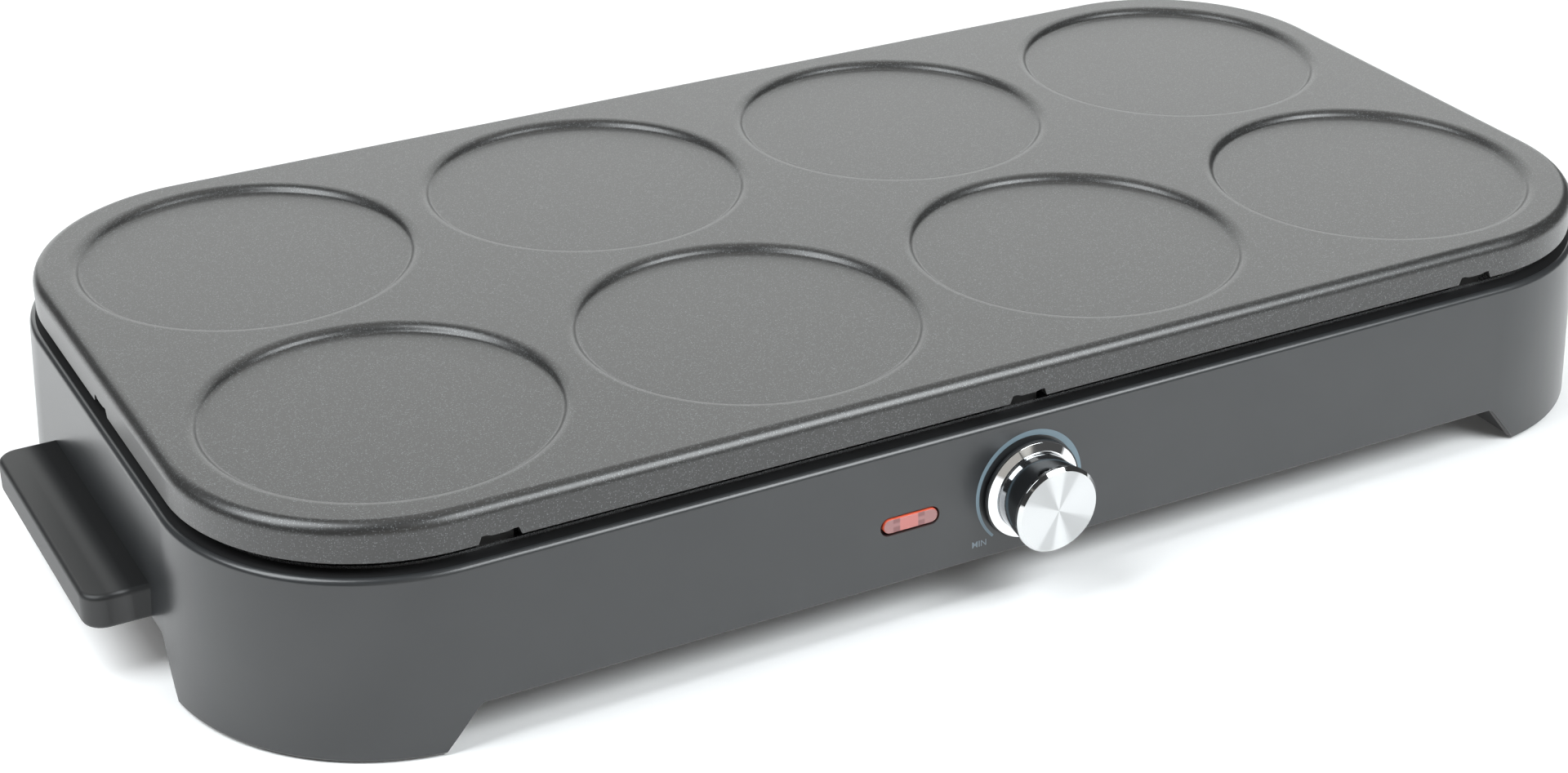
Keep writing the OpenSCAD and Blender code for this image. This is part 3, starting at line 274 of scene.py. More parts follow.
def low_round(station):
    """The rounded lower edge of the wall, from its underside to its face."""
    z = lower_edge(station) + low_edge_r
    return arc(reach(z) - low_edge_r, z, low_edge_r, -90, math.degrees(wall_lean), low_edge_steps)


def wall_look(z):
    """How far up the gently crowned wall looks at a height, for each unit outwards."""
    return wall_slope + (rim_slope - wall_slope) * (z - foot_z) / (rim_h - foot_z)


def wall_face(station):
    """The leaning face of the wall, from its lower edge to its rim."""
    low = low_round(station)[-1]
    return [(out, up, 1, wall_look(up)) for out, up in (low[:2], rim_start[:2])]


def pill(length, height, steps=10):
    """Points round a slot with round ends, as along, up and the way out."""
    r = height / 2
    found = []
    for side, start in ((1, -90), (-1, 90)):
        for i in range(steps + 1):
            a = math.radians(start + 180 * i / steps)
            c, s = math.cos(a), math.sin(a)
            found.append((side * (length / 2 - r) + r * c, r * s, c, s))
    return found


rim_middle = (reach(rim_h - rim_r) - rim_r / math.cos(wall_lean), rim_h - rim_r)
rim_arc = arc(*rim_middle, rim_r, math.degrees(wall_lean), 90, rim_steps)
rim_round = [(out, up, n_out, max(n_up, n_out * wall_look(up))) for out, up, n_out, n_up in rim_arc]
rim_start = rim_round[0]
front_stops = [s * (front_gap_half + k * gap_blend / 2) for s in (-1, 1) for k in range(-2, 2)]
end_stops = [s * (end_gap_half + k * gap_blend / 2) for s in (-1, 1) for k in range(-2, 3)]
wall_r = corner_r + reach(foot_z)
front_bend = math.degrees(math.asin((front_gap_half + foot_lean - corner_x) / wall_r))
end_bend = math.degrees(math.asin((end_gap_half + foot_lean - corner_y) / wall_r))
base_round = outline(front_stops, end_stops, (front_bend, 90 - front_bend, end_bend, 90 - end_bend))
base = Skin()
base.sheet(carried(base_round, low_round))
front_count = len(front_stops) + 2
base.sheet(carried(base_round[front_count - 1:], wall_face))
base.sheet(carried(base_round, lambda s: rim_round))
inside = Skin()
inside.sheet(carried(base_round, lambda s: [rim_round[-1], (-ledge_in, rim_h, 0, 1)]))
inside.sheet(carried(base_round, lambda s: [(-ledge_in, rim_h, -1, 0), (-ledge_in, ledge_z, -1, 0)]))
inside.sheet(carried(base_round, lambda s: [
    (-ledge_in, ledge_z, 0, -1),
    (reach(ledge_z) - wall_t, ledge_z, 0, -1)]))
inside.sheet(carried(base_round, lambda s: [
    (reach(ledge_z) - wall_t, ledge_z, -1, -wall_slope),
    (reach(lower_edge(s)) - wall_t, lower_edge(s), -1, -wall_slope)]))
base.sheet(carried(base_round, lambda s: [
    (reach(lower_edge(s)) - wall_t, lower_edge(s), None, None),
    (*low_round(s)[0][:2], None, None)]))


def on_front(spot, proud=0.0):
    """A point of the front wall's face from its distance along and height."""
    return (spot[0], -half_w - reach(spot[1]) - proud, spot[1])


front_low = [(spot[0], low_round((spot, way))[-1][1]) for spot, way in base_round[:front_count]]
front_high = [(x, rim_start[1]) for x in (corner_x, -corner_x)]
slot_rows = []
for grow, deep in ((slot_edge, 0), (slot_bend, slot_bend), (0, slot_edge), (0, wall_t)):
    ring = pill(slot_l + 2 * grow, slot_h + 2 * grow)
    look = -slot_mouth_look if deep < slot_edge else 0
    slot_rows.append([(on_front((slot_x + u, slot_z + v), -deep), (-nu, look, -nv))
                      for u, v, nu, nv in ring + ring[:1]])
slot_mouth = pill(slot_l + 2 * slot_edge, slot_h + 2 * slot_edge)
base.fill([front_low + front_high, [(slot_x + u, slot_z + v) for u, v, _, _ in slot_mouth]],
          on_front, lambda p: (0, -1, wall_look(p[1])))
base.sheet(slot_rows)


def foot_spot(sx, sy, across, along, z):
    """A point of one foot's block: across from its inner to its outer face, along from end to front gap."""
    r = foot_in_r + across * (corner_r + reach(foot_z) - wall_t - foot_in_r)
    gap_x = front_gap_half + foot_lean * max(0, 1 - (z - foot_z) / (front_gap_top - foot_z))
    gap_y = end_gap_half + foot_lean * max(0, 1 - (z - foot_z) / (end_gap_top - foot_z))
    first = math.asin(max(0, gap_y - corner_y) / r)
    last = math.acos(max(0, gap_x - corner_x) / r)
    a = first + along * (last - first)
    return (sx * (corner_x + r * math.cos(a)), sy * (corner_y + r * math.sin(a)), z), (
        sx * math.cos(a), sy * math.sin(a), 0)


heights = (foot_z, front_gap_top, foot_top)
turns = [i / foot_steps for i in range(foot_steps + 1)]
for sx in (-1, 1):
    for sy in (-1, 1):
        for z, way in ((foot_z, (0, 0, -1)), (foot_top, (0, 0, 1))):
            base.sheet([[(foot_spot(sx, sy, k, t, z)[0], way) for t in turns] for k in (0, 1)])
        for k, side in ((0, -1), (1, 1)):
            rows = [[foot_spot(sx, sy, k, t, z) for t in turns] for z in heights]
            base.sheet([[(p, (side * w[0], side * w[1], 0)) for p, w in row] for row in rows])
        base.sheet([[(foot_spot(sx, sy, k, 1, z)[0], (-sx, 0, 0)) for k in (0, 1)] for z in heights])
        base.sheet([[(foot_spot(sx, sy, k, 0, z)[0], (0, -sy, 0)) for k in (0, 1)] for z in heights])

base_plastic = finish("base_plastic", (0.0225, 0.0240, 0.0256), (0.0258, 0.0273, 0.0290),
                      0.30, 0.25, 0.006, shine=0.58)
base_piece = base.piece("base_moulding", base_plastic)
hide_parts("base_front", "base_back", "base_left", "base_right", "corner_feet")
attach(base_piece, "base")
# Painted shade: the ledge under the plate and the inside faces get a near-black finish that stands for the
# shade in the gap between the rim and the plate.
painted_shade_black = finish("painted_shade_black", (0.008, 0.008, 0.0084), (0.012, 0.012, 0.0125),
                     0.7, 0.3, 0.01, shine=0.2)
inside_piece = inside.piece("base_inside", painted_shade_black)
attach(inside_piece, "base")

# Handles: two slabs moulded in a darker, finer plastic.
# Each has softly rounded edges and outer corners, stands against an end wall, and is held by
# two screws from inside.
handle_plastic = finish("handle_plastic", (0.0065, 0.0070, 0.0075), (0.0082, 0.0087, 0.0092),
                        0.49, 0.18, 0.006, shine=0.54)
handle_sink = 0.8
handle_corner_r = 7.0
handle_edge_r = 1.8
handle_edge_steps = 5
handle_bend_steps = 8
for sx, node in ((-1, "handle_left"), (1, "handle_right")):
    low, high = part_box(node)
    handle_tip = max(abs(low.x), abs(high.x)) / MM
    handle_half = (high.y - low.y) / 2 / MM
    handle_low, handle_high = low.z / MM, high.z / MM
    handle_root = half_l + reach(handle_high) - handle_sink
    path = [((handle_root, -handle_half), (0, -1))]
    for sy, start in ((-1, -90), (1, 0)):
        for i in range(handle_bend_steps + 1):
            a = math.radians(start + 90 * i / handle_bend_steps)
            path.append(((handle_tip - handle_corner_r + handle_corner_r * math.cos(a),
                          sy * (handle_half - handle_corner_r) + handle_corner_r * math.sin(a)),
                         (math.cos(a), math.sin(a))))
    path.append(((handle_root, handle_half), (0, 1)))
    path = [((sx * spot[0], spot[1]), (sx * way[0], way[1])) for spot, way in path]
    edge = (arc(-handle_edge_r, handle_low + handle_edge_r, handle_edge_r, -90, 0, handle_edge_steps)
            + arc(-handle_edge_r, handle_high - handle_edge_r, handle_edge_r, 0, 90, handle_edge_steps))
    columns = carried(path, lambda s: edge)
    handle = Skin()
    handle.sheet(columns)
    for row, up in ((0, -1), (-1, 1)):
        level = [(column[row][0], (0, 0, up)) for column in columns]
        half = len(level) // 2
        handle.sheet([level[:half], level[:half - 1:-1]])
    handle.face([(p, None) for p, _ in columns[0]] + [(p, None) for p, _ in reversed(columns[-1])])
    piece = handle.piece(node + "_slab", handle_plastic)
    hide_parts(node)
    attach(piece, "base")

# Foot pads: four discs of soft black rubber, each moulded with a chamfered tread.
# They are pressed into the underside of the corner feet.
pad_rubber = finish("pad_rubber", (0.018, 0.018, 0.018), (0.026, 0.026, 0.026), 0.75, 0.4, 0.02)
pad_low, pad_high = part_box("foot_pads")
pad_d = 16.0
pad_chamfer = 0.5
pad_sides = 40
pad_places = [(sx * (pad_high.x / MM - pad_d / 2), sy * ((pad_high.y - pad_low.y) / 2 / MM - pad_d / 2), 0)
              for sx in (-1, 1) for sy in (-1, 1)]


def grown(piece, tree, values):
    """Runs a node tree on a piece with the stated inputs, and keeps the mesh that it makes."""
    way = piece.modifiers.new(tree.name, "NODES")
    way.node_group = tree
    for item in tree.interface.items_tree:
        if item.in_out == "INPUT" and item.name in values:
            way[item.identifier] = values[item.name]
    mesh = bpy.data.meshes.new_from_object(piece.evaluated_get(bpy.context.evaluated_depsgraph_get()))
    piece.modifiers.remove(way)
    piece.data = mesh


def repeated(name, places, sizes, shape, material):
    """One mesh of the same small shape at every place, from a node tree with named sizes in metres."""
    seeds = bpy.data.meshes.new(name + "_places")
    seeds.from_pydata([in_frame(p) for p in places], [], [])
    made = bpy.data.objects.new(name, seeds)
    bpy.context.scene.collection.objects.link(made)
    tree = bpy.data.node_groups.new(name, "GeometryNodeTree")
    tree.interface.new_socket("Places", in_out="INPUT", socket_type="NodeSocketGeometry")
    for label in sizes:
        tree.interface.new_socket(label, in_out="INPUT", socket_type="NodeSocketFloat")
    tree.interface.new_socket("Material", in_out="INPUT", socket_type="NodeSocketMaterial")
    tree.interface.new_socket("Pieces", in_out="OUTPUT", socket_type="NodeSocketGeometry")
    given = tree.nodes.new("NodeGroupInput")
    taken = tree.nodes.new("NodeGroupOutput")
    spread = tree.nodes.new("GeometryNodeInstanceOnPoints")
    real = tree.nodes.new("GeometryNodeRealizeInstances")
    coat = tree.nodes.new("GeometryNodeSetMaterial")
    tree.links.new(given.outputs["Places"], spread.inputs["Points"])
    tree.links.new(shape(tree, given), spread.inputs["Instance"])
    tree.links.new(spread.outputs["Instances"], real.inputs["Geometry"])
    tree.links.new(real.outputs["Geometry"], coat.inputs["Geometry"])
    tree.links.new(given.outputs["Material"], coat.inputs["Material"])
    tree.links.new(coat.outputs["Geometry"], taken.inputs["Pieces"])
    grown(made, tree, {**{label: size * MM for label, size in sizes.items()}, "Material": material})
    return made


def drum(tree, given, base_label, radius_label, height_label, top_label=None):
    """A round block with smooth sides, standing on a stated level; its top may be a smaller round."""
    cone = tree.nodes.new("GeometryNodeMeshCone")
    cone.inputs["Vertices"].default_value = pad_sides
    tree.links.new(given.outputs[radius_label], cone.inputs["Radius Bottom"])
    tree.links.new(given.outputs[top_label or radius_label], cone.inputs["Radius Top"])
    tree.links.new(given.outputs[height_label], cone.inputs["Depth"])
    smooth = tree.nodes.new("GeometryNodeSetShadeSmooth")
    tree.links.new(cone.outputs["Mesh"], smooth.inputs["Geometry"])
    tree.links.new(cone.outputs["Side"], smooth.inputs["Selection"])
    lift = tree.nodes.new("ShaderNodeCombineXYZ")
    tree.links.new(given.outputs[base_label], lift.inputs["Z"])
    raised = tree.nodes.new("GeometryNodeTransform")
    tree.links.new(smooth.outputs["Geometry"], raised.inputs["Geometry"])
    tree.links.new(lift.outputs["Vector"], raised.inputs["Translation"])
    return raised.outputs["Geometry"]


def pad_shape(tree, given):
    """A disc on a chamfered tread."""
    both = tree.nodes.new("GeometryNodeJoinGeometry")
    tread = drum(tree, given, "Tread level", "Tread radius", "Tread height", "Radius")
    disc = drum(tree, given, "Disc level", "Radius", "Disc height")
    tree.links.new(tread, both.inputs["Geometry"])
    tree.links.new(disc, both.inputs["Geometry"])
    return both.outputs["Geometry"]


pad_h = (pad_high.z - pad_low.z) / MM
pads = repeated("rubber_pads", pad_places, {
    "Radius": pad_d / 2, "Tread radius": pad_d / 2 - pad_chamfer, "Tread height": pad_chamfer,
    "Tread level": 0, "Disc level": pad_chamfer, "Disc height": pad_h - pad_chamfer,
}, pad_shape, pad_rubber)
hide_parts("foot_pads")
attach(pads, "base")

# Underside: a flat black moulded cover with two groups of vent slots, in the opening of the base.
# Eight plated screws hold it, and the handles and plate rests have the same screws.
black_plastic = finish("black_plastic", (0.016, 0.016, 0.017), (0.022, 0.022, 0.023), 0.5, 0.3, 0.01)
bright_steel = finish("bright_steel", (0.55, 0.56, 0.57), (0.66, 0.67, 0.68), 0.3, 0.2, 0.004, 1.0)


def dress(material, slot, *names):
    """CAD nodes that keep their own shape take a finish."""
    for name in names:
        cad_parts[name].data.materials.clear()
        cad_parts[name].data.materials.append(material)


dress(black_plastic, "black_plastic", "bottom_cover")
dress(bright_steel, "steel", "cover_screws", "handle_screws", "rest_screws", "bracket_screws")

# Heater space: a bright pressed tray lies on the ledge and carries two bent tubular elements.
# Clips hold the tubes, ceramic bushes lead their ends down, and dark blocks carry the plate.
tray_steel = finish("tray_steel", (0.60, 0.61, 0.62), (0.72, 0.73, 0.74), 0.28, 0.5, 0.01, 1.0)
tube_steel = finish("tube_steel", (0.16, 0.155, 0.15), (0.24, 0.23, 0.22), 0.5, 0.3, 0.01, 0.8)
ceramic = finish("ceramic", (0.74, 0.71, 0.63), (0.82, 0.79, 0.71), 0.6, 0.3, 0.01)
insulator = finish("insulator", (0.011, 0.0105, 0.010), (0.015, 0.0145, 0.014), 0.6, 0.3, 0.01, shine=0.25)
dress(tray_steel, "steel", "reflector_tray", "element_saddles", "bulb_saddles", "element_tabs")
dress(tube_steel, "element_steel", "outer_element", "inner_element")
dress(ceramic, "ceramic", "element_bushes")
dress(insulator, "insulator", "plate_rests")

# Control: a thermostat on a steel bracket behind the front wall.
# A thin copper line joins its bulb, which lies under the plate, and a fuse sits under the tray.
copper = finish("copper", (0.62, 0.34, 0.21), (0.75, 0.45, 0.30), 0.3, 0.2, 0.004, 1.0)
dress(insulator, "insulator", "thermostat_body", "thermal_fuse")
dress(bright_steel, "steel", "thermostat_bracket", "thermostat_nut", "thermostat_spindle")
dress(copper, "copper", "sensor_bulb", "capillary")

# Wiring: a pale moulded terminal block with brass screws, and an earth tag of plated steel.
# Sleeved leads run between them and the other pieces in the space under the tray.
brass = finish("brass", (0.66, 0.50, 0.20), (0.80, 0.64, 0.32), 0.3, 0.2, 0.004, 1.0)
pale_plastic = finish("pale_plastic", (0.74, 0.73, 0.69), (0.80, 0.79, 0.75), 0.5, 0.3, 0.006)
dress(pale_plastic, "pale_plastic", "terminal_block", "lamp_holder")
dress(brass, "brass", "terminal_screws", "earth_screw")
dress(bright_steel, "steel", "earth_tag")
for colour, tone, names in (
    ("brown_sleeve", (0.20, 0.10, 0.05), ("live_lead", "heater_lead")),
    ("blue_sleeve", (0.06, 0.12, 0.35), ("neutral_lead",)),
    ("red_sleeve", (0.40, 0.05, 0.04), ("switched_lead",)),
    ("green_sleeve", (0.15, 0.30, 0.07), ("earth_lead",)),
    ("pale_plastic", (0.74, 0.73, 0.69), ("lamp_leads",)),
):
    sleeve = finish(colour + "_lead", tuple(0.85 * c for c in tone), tone, 0.45, 0.3, 0.006)
    dress(sleeve, colour, *names)

# Cord gland: a black moulded bush through the back wall.
# A nut inside the base holds it, and no cord is fitted.
dress(black_plastic, "black_plastic", "cord_gland", "gland_nut")

# Pilot light: a translucent red lens stands a little out of its slot in the front wall. A small lamp lies
# behind it in a pale holder.
# Here the lens is opaque; paler and darker patches painted on it stand for the lamp and holder seen through
# it, with their light and shade, and a painted orange glow runs round its side.
lens_l = 19.4
lens_h = 4.75
lens_lift = 0.3
lens_z = slot_z + lens_lift
lens_out = 0.5
lens_edge = 0.35
lens_bend = 0.3 * lens_edge
lens_bend_look = 0.7
lens_deep = 4.0
lens = Skin()
rows = []
for grow, out, side in ((0, -lens_deep, 1), (0, lens_out - lens_edge, 1),
                        (-lens_bend, lens_out - lens_bend, lens_bend_look), (-lens_edge, lens_out, 0)):
    ring = pill(lens_l + 2 * grow, lens_h + 2 * grow)
    rows.append([(on_front((slot_x + u, lens_z + v), out), (nu * side, side - 1, nv * side))
                 for u, v, nu, nv in ring + ring[:1]])
lens.sheet(rows)
lens_face = pill(lens_l - 2 * lens_edge, lens_h - 2 * lens_edge)
lens.fill([[(slot_x + u, lens_z + v) for u, v, _, _ in lens_face]],
          lambda p: on_front(p, lens_out), lambda p: (0, -1, wall_slope))
lens.fill([[(slot_x + u, lens_z + v) for u, v, _, _ in pill(lens_l, lens_h)]],
          lambda p: on_front(p, -lens_deep), lambda p: (0, 1, 0))
red_lens = bpy.data.materials.new("red_lens")
red_lens.use_nodes = True
nodes, link = red_lens.node_tree.nodes, red_lens.node_tree.links.new
shader = nodes["Principled BSDF"]
shader.inputs["Roughness"].default_value = 0.32
apart = nodes.new("ShaderNodeSeparateXYZ")
link(nodes.new("ShaderNodeTexCoord").outputs["Object"], apart.inputs["Vector"])


def sum_of(operation, first, second):
    """One arithmetic step in the shader that nodes and link stand for, between sockets or values."""
    step = nodes.new("ShaderNodeMath")
    step.operation = operation
    for value, socket in ((first, step.inputs[0]), (second, step.inputs[1])):
        if isinstance(value, (int, float)):
            socket.default_value = value
        else:
            link(value, socket)
    return step.outputs[0]


def ramp(value, start, end):
    """Nought at the start and one at the end of a range."""
    step = nodes.new("ShaderNodeMapRange")
    step.inputs["From Min"].default_value = start
    step.inputs["From Max"].default_value = end
    link(value, step.inputs["Value"])
    return step.outputs["Result"]


def band(value, middle, half, soft):
    """One inside a band of a coordinate in millimetres, and nought outside it."""
    off = sum_of("ABSOLUTE", sum_of("SUBTRACT", value, middle * MM), 0.0)
    return ramp(off, (half + soft) * MM, (half - soft) * MM)


def over(factor, under, colour):
    """A colour laid over another by a factor."""
    mixed = nodes.new("ShaderNodeMix")
    mixed.data_type = "RGBA"
    link(factor, mixed.inputs[0])
    if isinstance(under, tuple):
        mixed.inputs[6].default_value = (*under, 1)
    else:
        link(under, mixed.inputs[6])
    mixed.inputs[7].default_value = (*colour, 1)
    return mixed.outputs[2]


# Lens colours: the pale and dark patches are painted light and shade of the lamp and holder seen through
# the lens; the side colour is a painted glow.
lens_pink = (0.28, 0.140, 0.137)
lens_pale = (0.43, 0.150, 0.137)
lens_dark = (0.19, 0.080, 0.080)
lens_side_glow = (0.86, 0.13, 0.065)
pale_x, pale_half, pale_soft = slot_x - 0.65, 3.25, 0.15
dark_left_x, dark_left_half = slot_x - 5.1, 1.2
dark_right_x, dark_right_half = slot_x + 3.8, 1.15
dark_soft = 0.2
stripe_z, stripe_half, stripe_soft = lens_z + 0.2, 0.6, 0.3
lens_glow_start = lens_out - 0.15 * lens_edge
lens_glow_end = lens_out - 0.6 * lens_edge
along, up = apart.outputs["X"], apart.outputs["Z"]
pale_block = band(along, pale_x, pale_half, pale_soft)
dark_left = band(along, dark_left_x, dark_left_half, dark_soft)
dark_right = band(along, dark_right_x, dark_right_half, dark_soft)
light_stripe = band(up, stripe_z, stripe_half, stripe_soft)
dark_spots = sum_of("MULTIPLY", sum_of("ADD", dark_left, dark_right), sum_of("SUBTRACT", 1.0, light_stripe))
wall_at_floor = middle_y - (half_w + rim_reach + wall_slope * rim_h) * MM
wall_lag = sum_of("SUBTRACT", sum_of("MULTIPLY", up, wall_slope), apart.outputs["Y"])
# side: the painted orange glow round the lens's side, just behind its front face.
side = ramp(sum_of("ADD", wall_lag, wall_at_floor), lens_glow_start * MM, lens_glow_end * MM)
tone = over(side, over(dark_spots, over(pale_block, lens_pink, lens_pale), lens_dark), lens_side_glow)
link(tone, shader.inputs["Base Color"])
lens_piece = lens.piece("red_lens", red_lens)
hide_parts("pilot_lens")
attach(lens_piece, "base")
lamp_glass = finish("lamp_glass", (0.80, 0.52, 0.36), (0.90, 0.62, 0.44), 0.15, 0.4, 0.002)
dress(lamp_glass, "lamp_glass", "pilot_lamp")

# Dial: a blue-grey arc that widens from the low to the high setting, printed on the front wall.
# The two ends of the scale carry generic words.
knob_x = -1.0
knob_z = 35.5
dial_r = 19.7
dial_start = 226.0
dial_sweep = 272.0
dial_steps = 120
dial_thin = 0.9
dial_wide = 2.7
print_proud = 0.03
dial = Skin()
dial_rows = [[], []]
for i in range(dial_steps + 1):
    a = math.radians(dial_start - dial_sweep * i / dial_steps)
    width = dial_thin + (dial_wide - dial_thin) * i / dial_steps
    for row, r in zip(dial_rows, (dial_r, dial_r - width)):
        spot = (knob_x + r * math.cos(a), knob_z + r * math.sin(a))
        row.append((on_front(spot, print_proud), (0, -1, wall_look(spot[1]))))
dial.sheet(dial_rows)
dial_ink = finish("dial_ink", (0.134, 0.190, 0.226), (0.152, 0.212, 0.250), 0.5, 0.3, 0.002)
dial_piece = dial.piece("dial_arc", dial_ink)
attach(dial_piece, "base")
word_ink = finish("word_ink", (0.19, 0.235, 0.27), (0.21, 0.255, 0.29), 0.5, 0.3, 0.002)
word_size = 3.1
word_bold = 0.015
word_z = 19.1
word_reach = 18.4
for word, word_x in (("MIN", knob_x - word_reach), ("MAX", knob_x + word_reach)):
    letters = bpy.data.curves.new("word_" + word, "FONT")
    letters.body = word
    letters.size = word_size
    letters.offset = word_bold
    letters.align_x = "CENTER"
    drawn = bpy.data.objects.new("word_" + word, letters)
    bpy.context.scene.collection.objects.link(drawn)
    flat = bpy.data.meshes.new_from_object(drawn.evaluated_get(bpy.context.evaluated_depsgraph_get()))
    bpy.data.objects.remove(drawn)
    for corner in flat.vertices:
        corner.co = in_frame(on_front((word_x + corner.co.x, word_z + corner.co.y), print_proud))
    flat.materials.clear()
    flat.materials.append(word_ink)
    printed = bpy.data.objects.new("dial_word_" + word, flat)
    bpy.context.scene.collection.objects.link(printed)
    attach(printed, "base")

# Knob: a black skirt, a bevelled chrome ring, a body in smoked plating that widens a little to the
# front, and a spun aluminium cap with a bright cut edge; darker wedges on the cap are a painted reflection.
# It turns with the thermostat's spindle.
knob_steps = 96
knob_origin = (knob_x, -half_w - reach(knob_z), knob_z)
knob_axes = ((1, 0, 0), (0, 0, 1), (0, -1, 0))
skirt_bore_r = 9.0
skirt_ease = 0.25
ring_ease = 0.12
body_ease = 0.05
cap_ease = 0.1
body_clear = 0.02
skirt_back = 1.215
ring_at = 2.415
ring_front = 3.715
cap_at = 15.2
knob_front = 17.3
skirt_r = 17.2
ring_r = 16.7
ring_top_r = 14.2
body_r = 13.6
nose_r = 14.4
cap_r = 14.8
cap_cut = 1.1
cap_cut_h = 1.1


def lathe(skin, run, origin, side, up, axis, steps):
    """A section of distances out and along, turned round an axis."""
    rows = []
    for out, along, n_out, n_along in run:
        row = []
        for i in range(steps + 1):
            a = 2 * math.pi * (i % steps) / steps
            c, s = math.cos(a), math.sin(a)
            turn = [c * side[k] + s * up[k] for k in range(3)]
            point = tuple(origin[k] + out * turn[k] + along * axis[k] for k in range(3))
            row.append((point, tuple(n_out * turn[k] + n_along * axis[k] for k in range(3))))
        rows.append(row)
    skin.sheet(rows)


def straight(first, second):
    """A straight run of a section between two points, looking to its right hand side."""
    across, rise = second[0] - first[0], second[1] - first[1]
    size = math.hypot(across, rise)
    return [(*first, rise / size, -across / size), (*second, rise / size, -across / size)]


def turned(name, section, edge, material, smooth_edge=3):
    """A piece turned on the knob's axis from a closed section, its corners eased by a small round."""
    skin = Skin()
    count = len(section)
    runs = []
    for i in range(count):
        here = Vector(section[i])
        back = Vector(section[i - 1]) - here
        on = Vector(section[(i + 1) % count]) - here
        ease = 0.0 if here.x == 0 else min(edge, back.length / 3, on.length / 3)
        runs.append((here + back.normalized() * ease, here, here + on.normalized() * ease))
    for i in range(count):
        first, second = runs[i][2], runs[(i + 1) % count][0]
        if max(first.x, second.x) > 0:
            lathe(skin, straight(tuple(first), tuple(second)), knob_origin, *knob_axes, knob_steps)
        entry, corner, leave = runs[i]
        if (entry - leave).length > 0:
            way_in = straight(tuple(runs[i - 1][2]), tuple(entry))[0][2:]
            way_out = straight(tuple(leave), tuple(runs[(i + 1) % count][0]))[0][2:]
            bend = []
            for k in range(smooth_edge + 1):
                t = k / smooth_edge
                spot = entry * (1 - t) ** 2 + corner * 2 * t * (1 - t) + leave * t ** 2
                way = Vector(way_in) * (1 - t) + Vector(way_out) * t
                bend.append((spot.x, spot.y, way.x, way.y))
            lathe(skin, bend, knob_origin, *knob_axes, knob_steps)
    made = skin.piece(name, material)
    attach(made, "knob")
    return made


knob_black = finish("knob_black", (0.010, 0.010, 0.011), (0.014, 0.014, 0.015), 0.4, 0.2, 0.004)
chrome = finish("chrome", (0.78, 0.79, 0.80), (0.82, 0.83, 0.84), 0.06, 0.5, 0.0, 1.0, spread=0.01)
skirt_piece = turned("knob_skirt_disc", [
    (skirt_bore_r, skirt_back), (skirt_r, skirt_back), (skirt_r, ring_at), (skirt_bore_r, ring_at),
], skirt_ease, knob_black)
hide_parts("knob_skirt")
ring_piece = turned("knob_bevel_ring", [
    (body_r, ring_at), (ring_r, ring_at), (ring_top_r, ring_front), (body_r, ring_front),
], ring_ease, chrome)
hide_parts("knob_ring")
smoked = finish("smoked_chrome", (0.27, 0.28, 0.29), (0.30, 0.31, 0.32), 0.10, 0.5, 0.0, 1.0, spread=0.01)
body_piece = turned("knob_plated_body", [
    (0, ring_at), (body_r - body_clear, ring_at), (body_r - body_clear, ring_front),
    (nose_r, cap_at), (0, cap_at),
], body_ease, smoked)
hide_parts("knob_body")
dress(bright_steel, "steel", "knob_clip")
spun = bpy.data.materials.new("spun_aluminium")
spun.use_nodes = True
nodes, link = spun.node_tree.nodes, spun.node_tree.links.new
shader = nodes["Principled BSDF"]
shader.inputs["Metallic"].default_value = 1.0
shader.inputs["Anisotropic"].default_value = 0.85
shader.inputs["Anisotropic Rotation"].default_value = 0.25
rings = nodes.new("ShaderNodeUVMap")
rings.uv_map = "turning"
parts = nodes.new("ShaderNodeSeparateXYZ")
link(rings.outputs["UV"], parts.inputs["Vector"])
lay = nodes.new("ShaderNodeTangent")
lay.direction_type = "UV_MAP"
lay.uv_map = "turning"
link(lay.outputs["Tangent"], shader.inputs["Tangent"])
cuts = nodes.new("ShaderNodeTexNoise")
cuts.noise_dimensions = "1D"
cuts.inputs["Scale"].default_value = 220.0
link(parts.outputs["Y"], cuts.inputs["W"])
cut_tone = nodes.new("ShaderNodeValToRGB")
cut_tone.color_ramp.elements[0].color = (0.52, 0.53, 0.54, 1)
cut_tone.color_ramp.elements[1].color = (0.64, 0.65, 0.65, 1)
link(cuts.outputs["Fac"], cut_tone.inputs["Fac"])


def wedge(middle, start, end):
    """One inside two wedges that face each other across the cap, and nought outside them."""
    turns = sum_of("SUBTRACT", parts.outputs["X"], middle / 360)
    return ramp(sum_of("COSINE", sum_of("MULTIPLY", turns, 4 * math.pi), 0.0), start, end)


# Painted reflection: two pairs of darker wedges across the cap stand for the bow-tie reflection of its spun
# finish, and they turn with the knob.
broad_reflection_at, broad_reflection_soft, broad_reflection_dark = 133, (0.6, 0.85), 0.22
fine_reflection_at, fine_reflection_soft, fine_reflection_dark = 71, (0.87, 0.96), 0.20
broad_painted_reflection = sum_of("MULTIPLY", wedge(broad_reflection_at, *broad_reflection_soft), broad_reflection_dark)
fine_painted_reflection = sum_of("MULTIPLY", wedge(fine_reflection_at, *fine_reflection_soft), fine_reflection_dark)
painted_reflection_tone = sum_of("SUBTRACT", sum_of("SUBTRACT", 1.0, broad_painted_reflection), fine_painted_reflection)
sheen = nodes.new("ShaderNodeVectorMath")
sheen.operation = "SCALE"
link(cut_tone.outputs["Color"], sheen.inputs["Vector"])
link(painted_reflection_tone, sheen.inputs["Scale"])
link(sheen.outputs["Vector"], shader.inputs["Base Color"])
cut_gloss = nodes.new("ShaderNodeMapRange")
cut_gloss.inputs["To Min"].default_value = 0.24
cut_gloss.inputs["To Max"].default_value = 0.34
link(cuts.outputs["Fac"], cut_gloss.inputs["Value"])
cut_edge_rough = 0.07
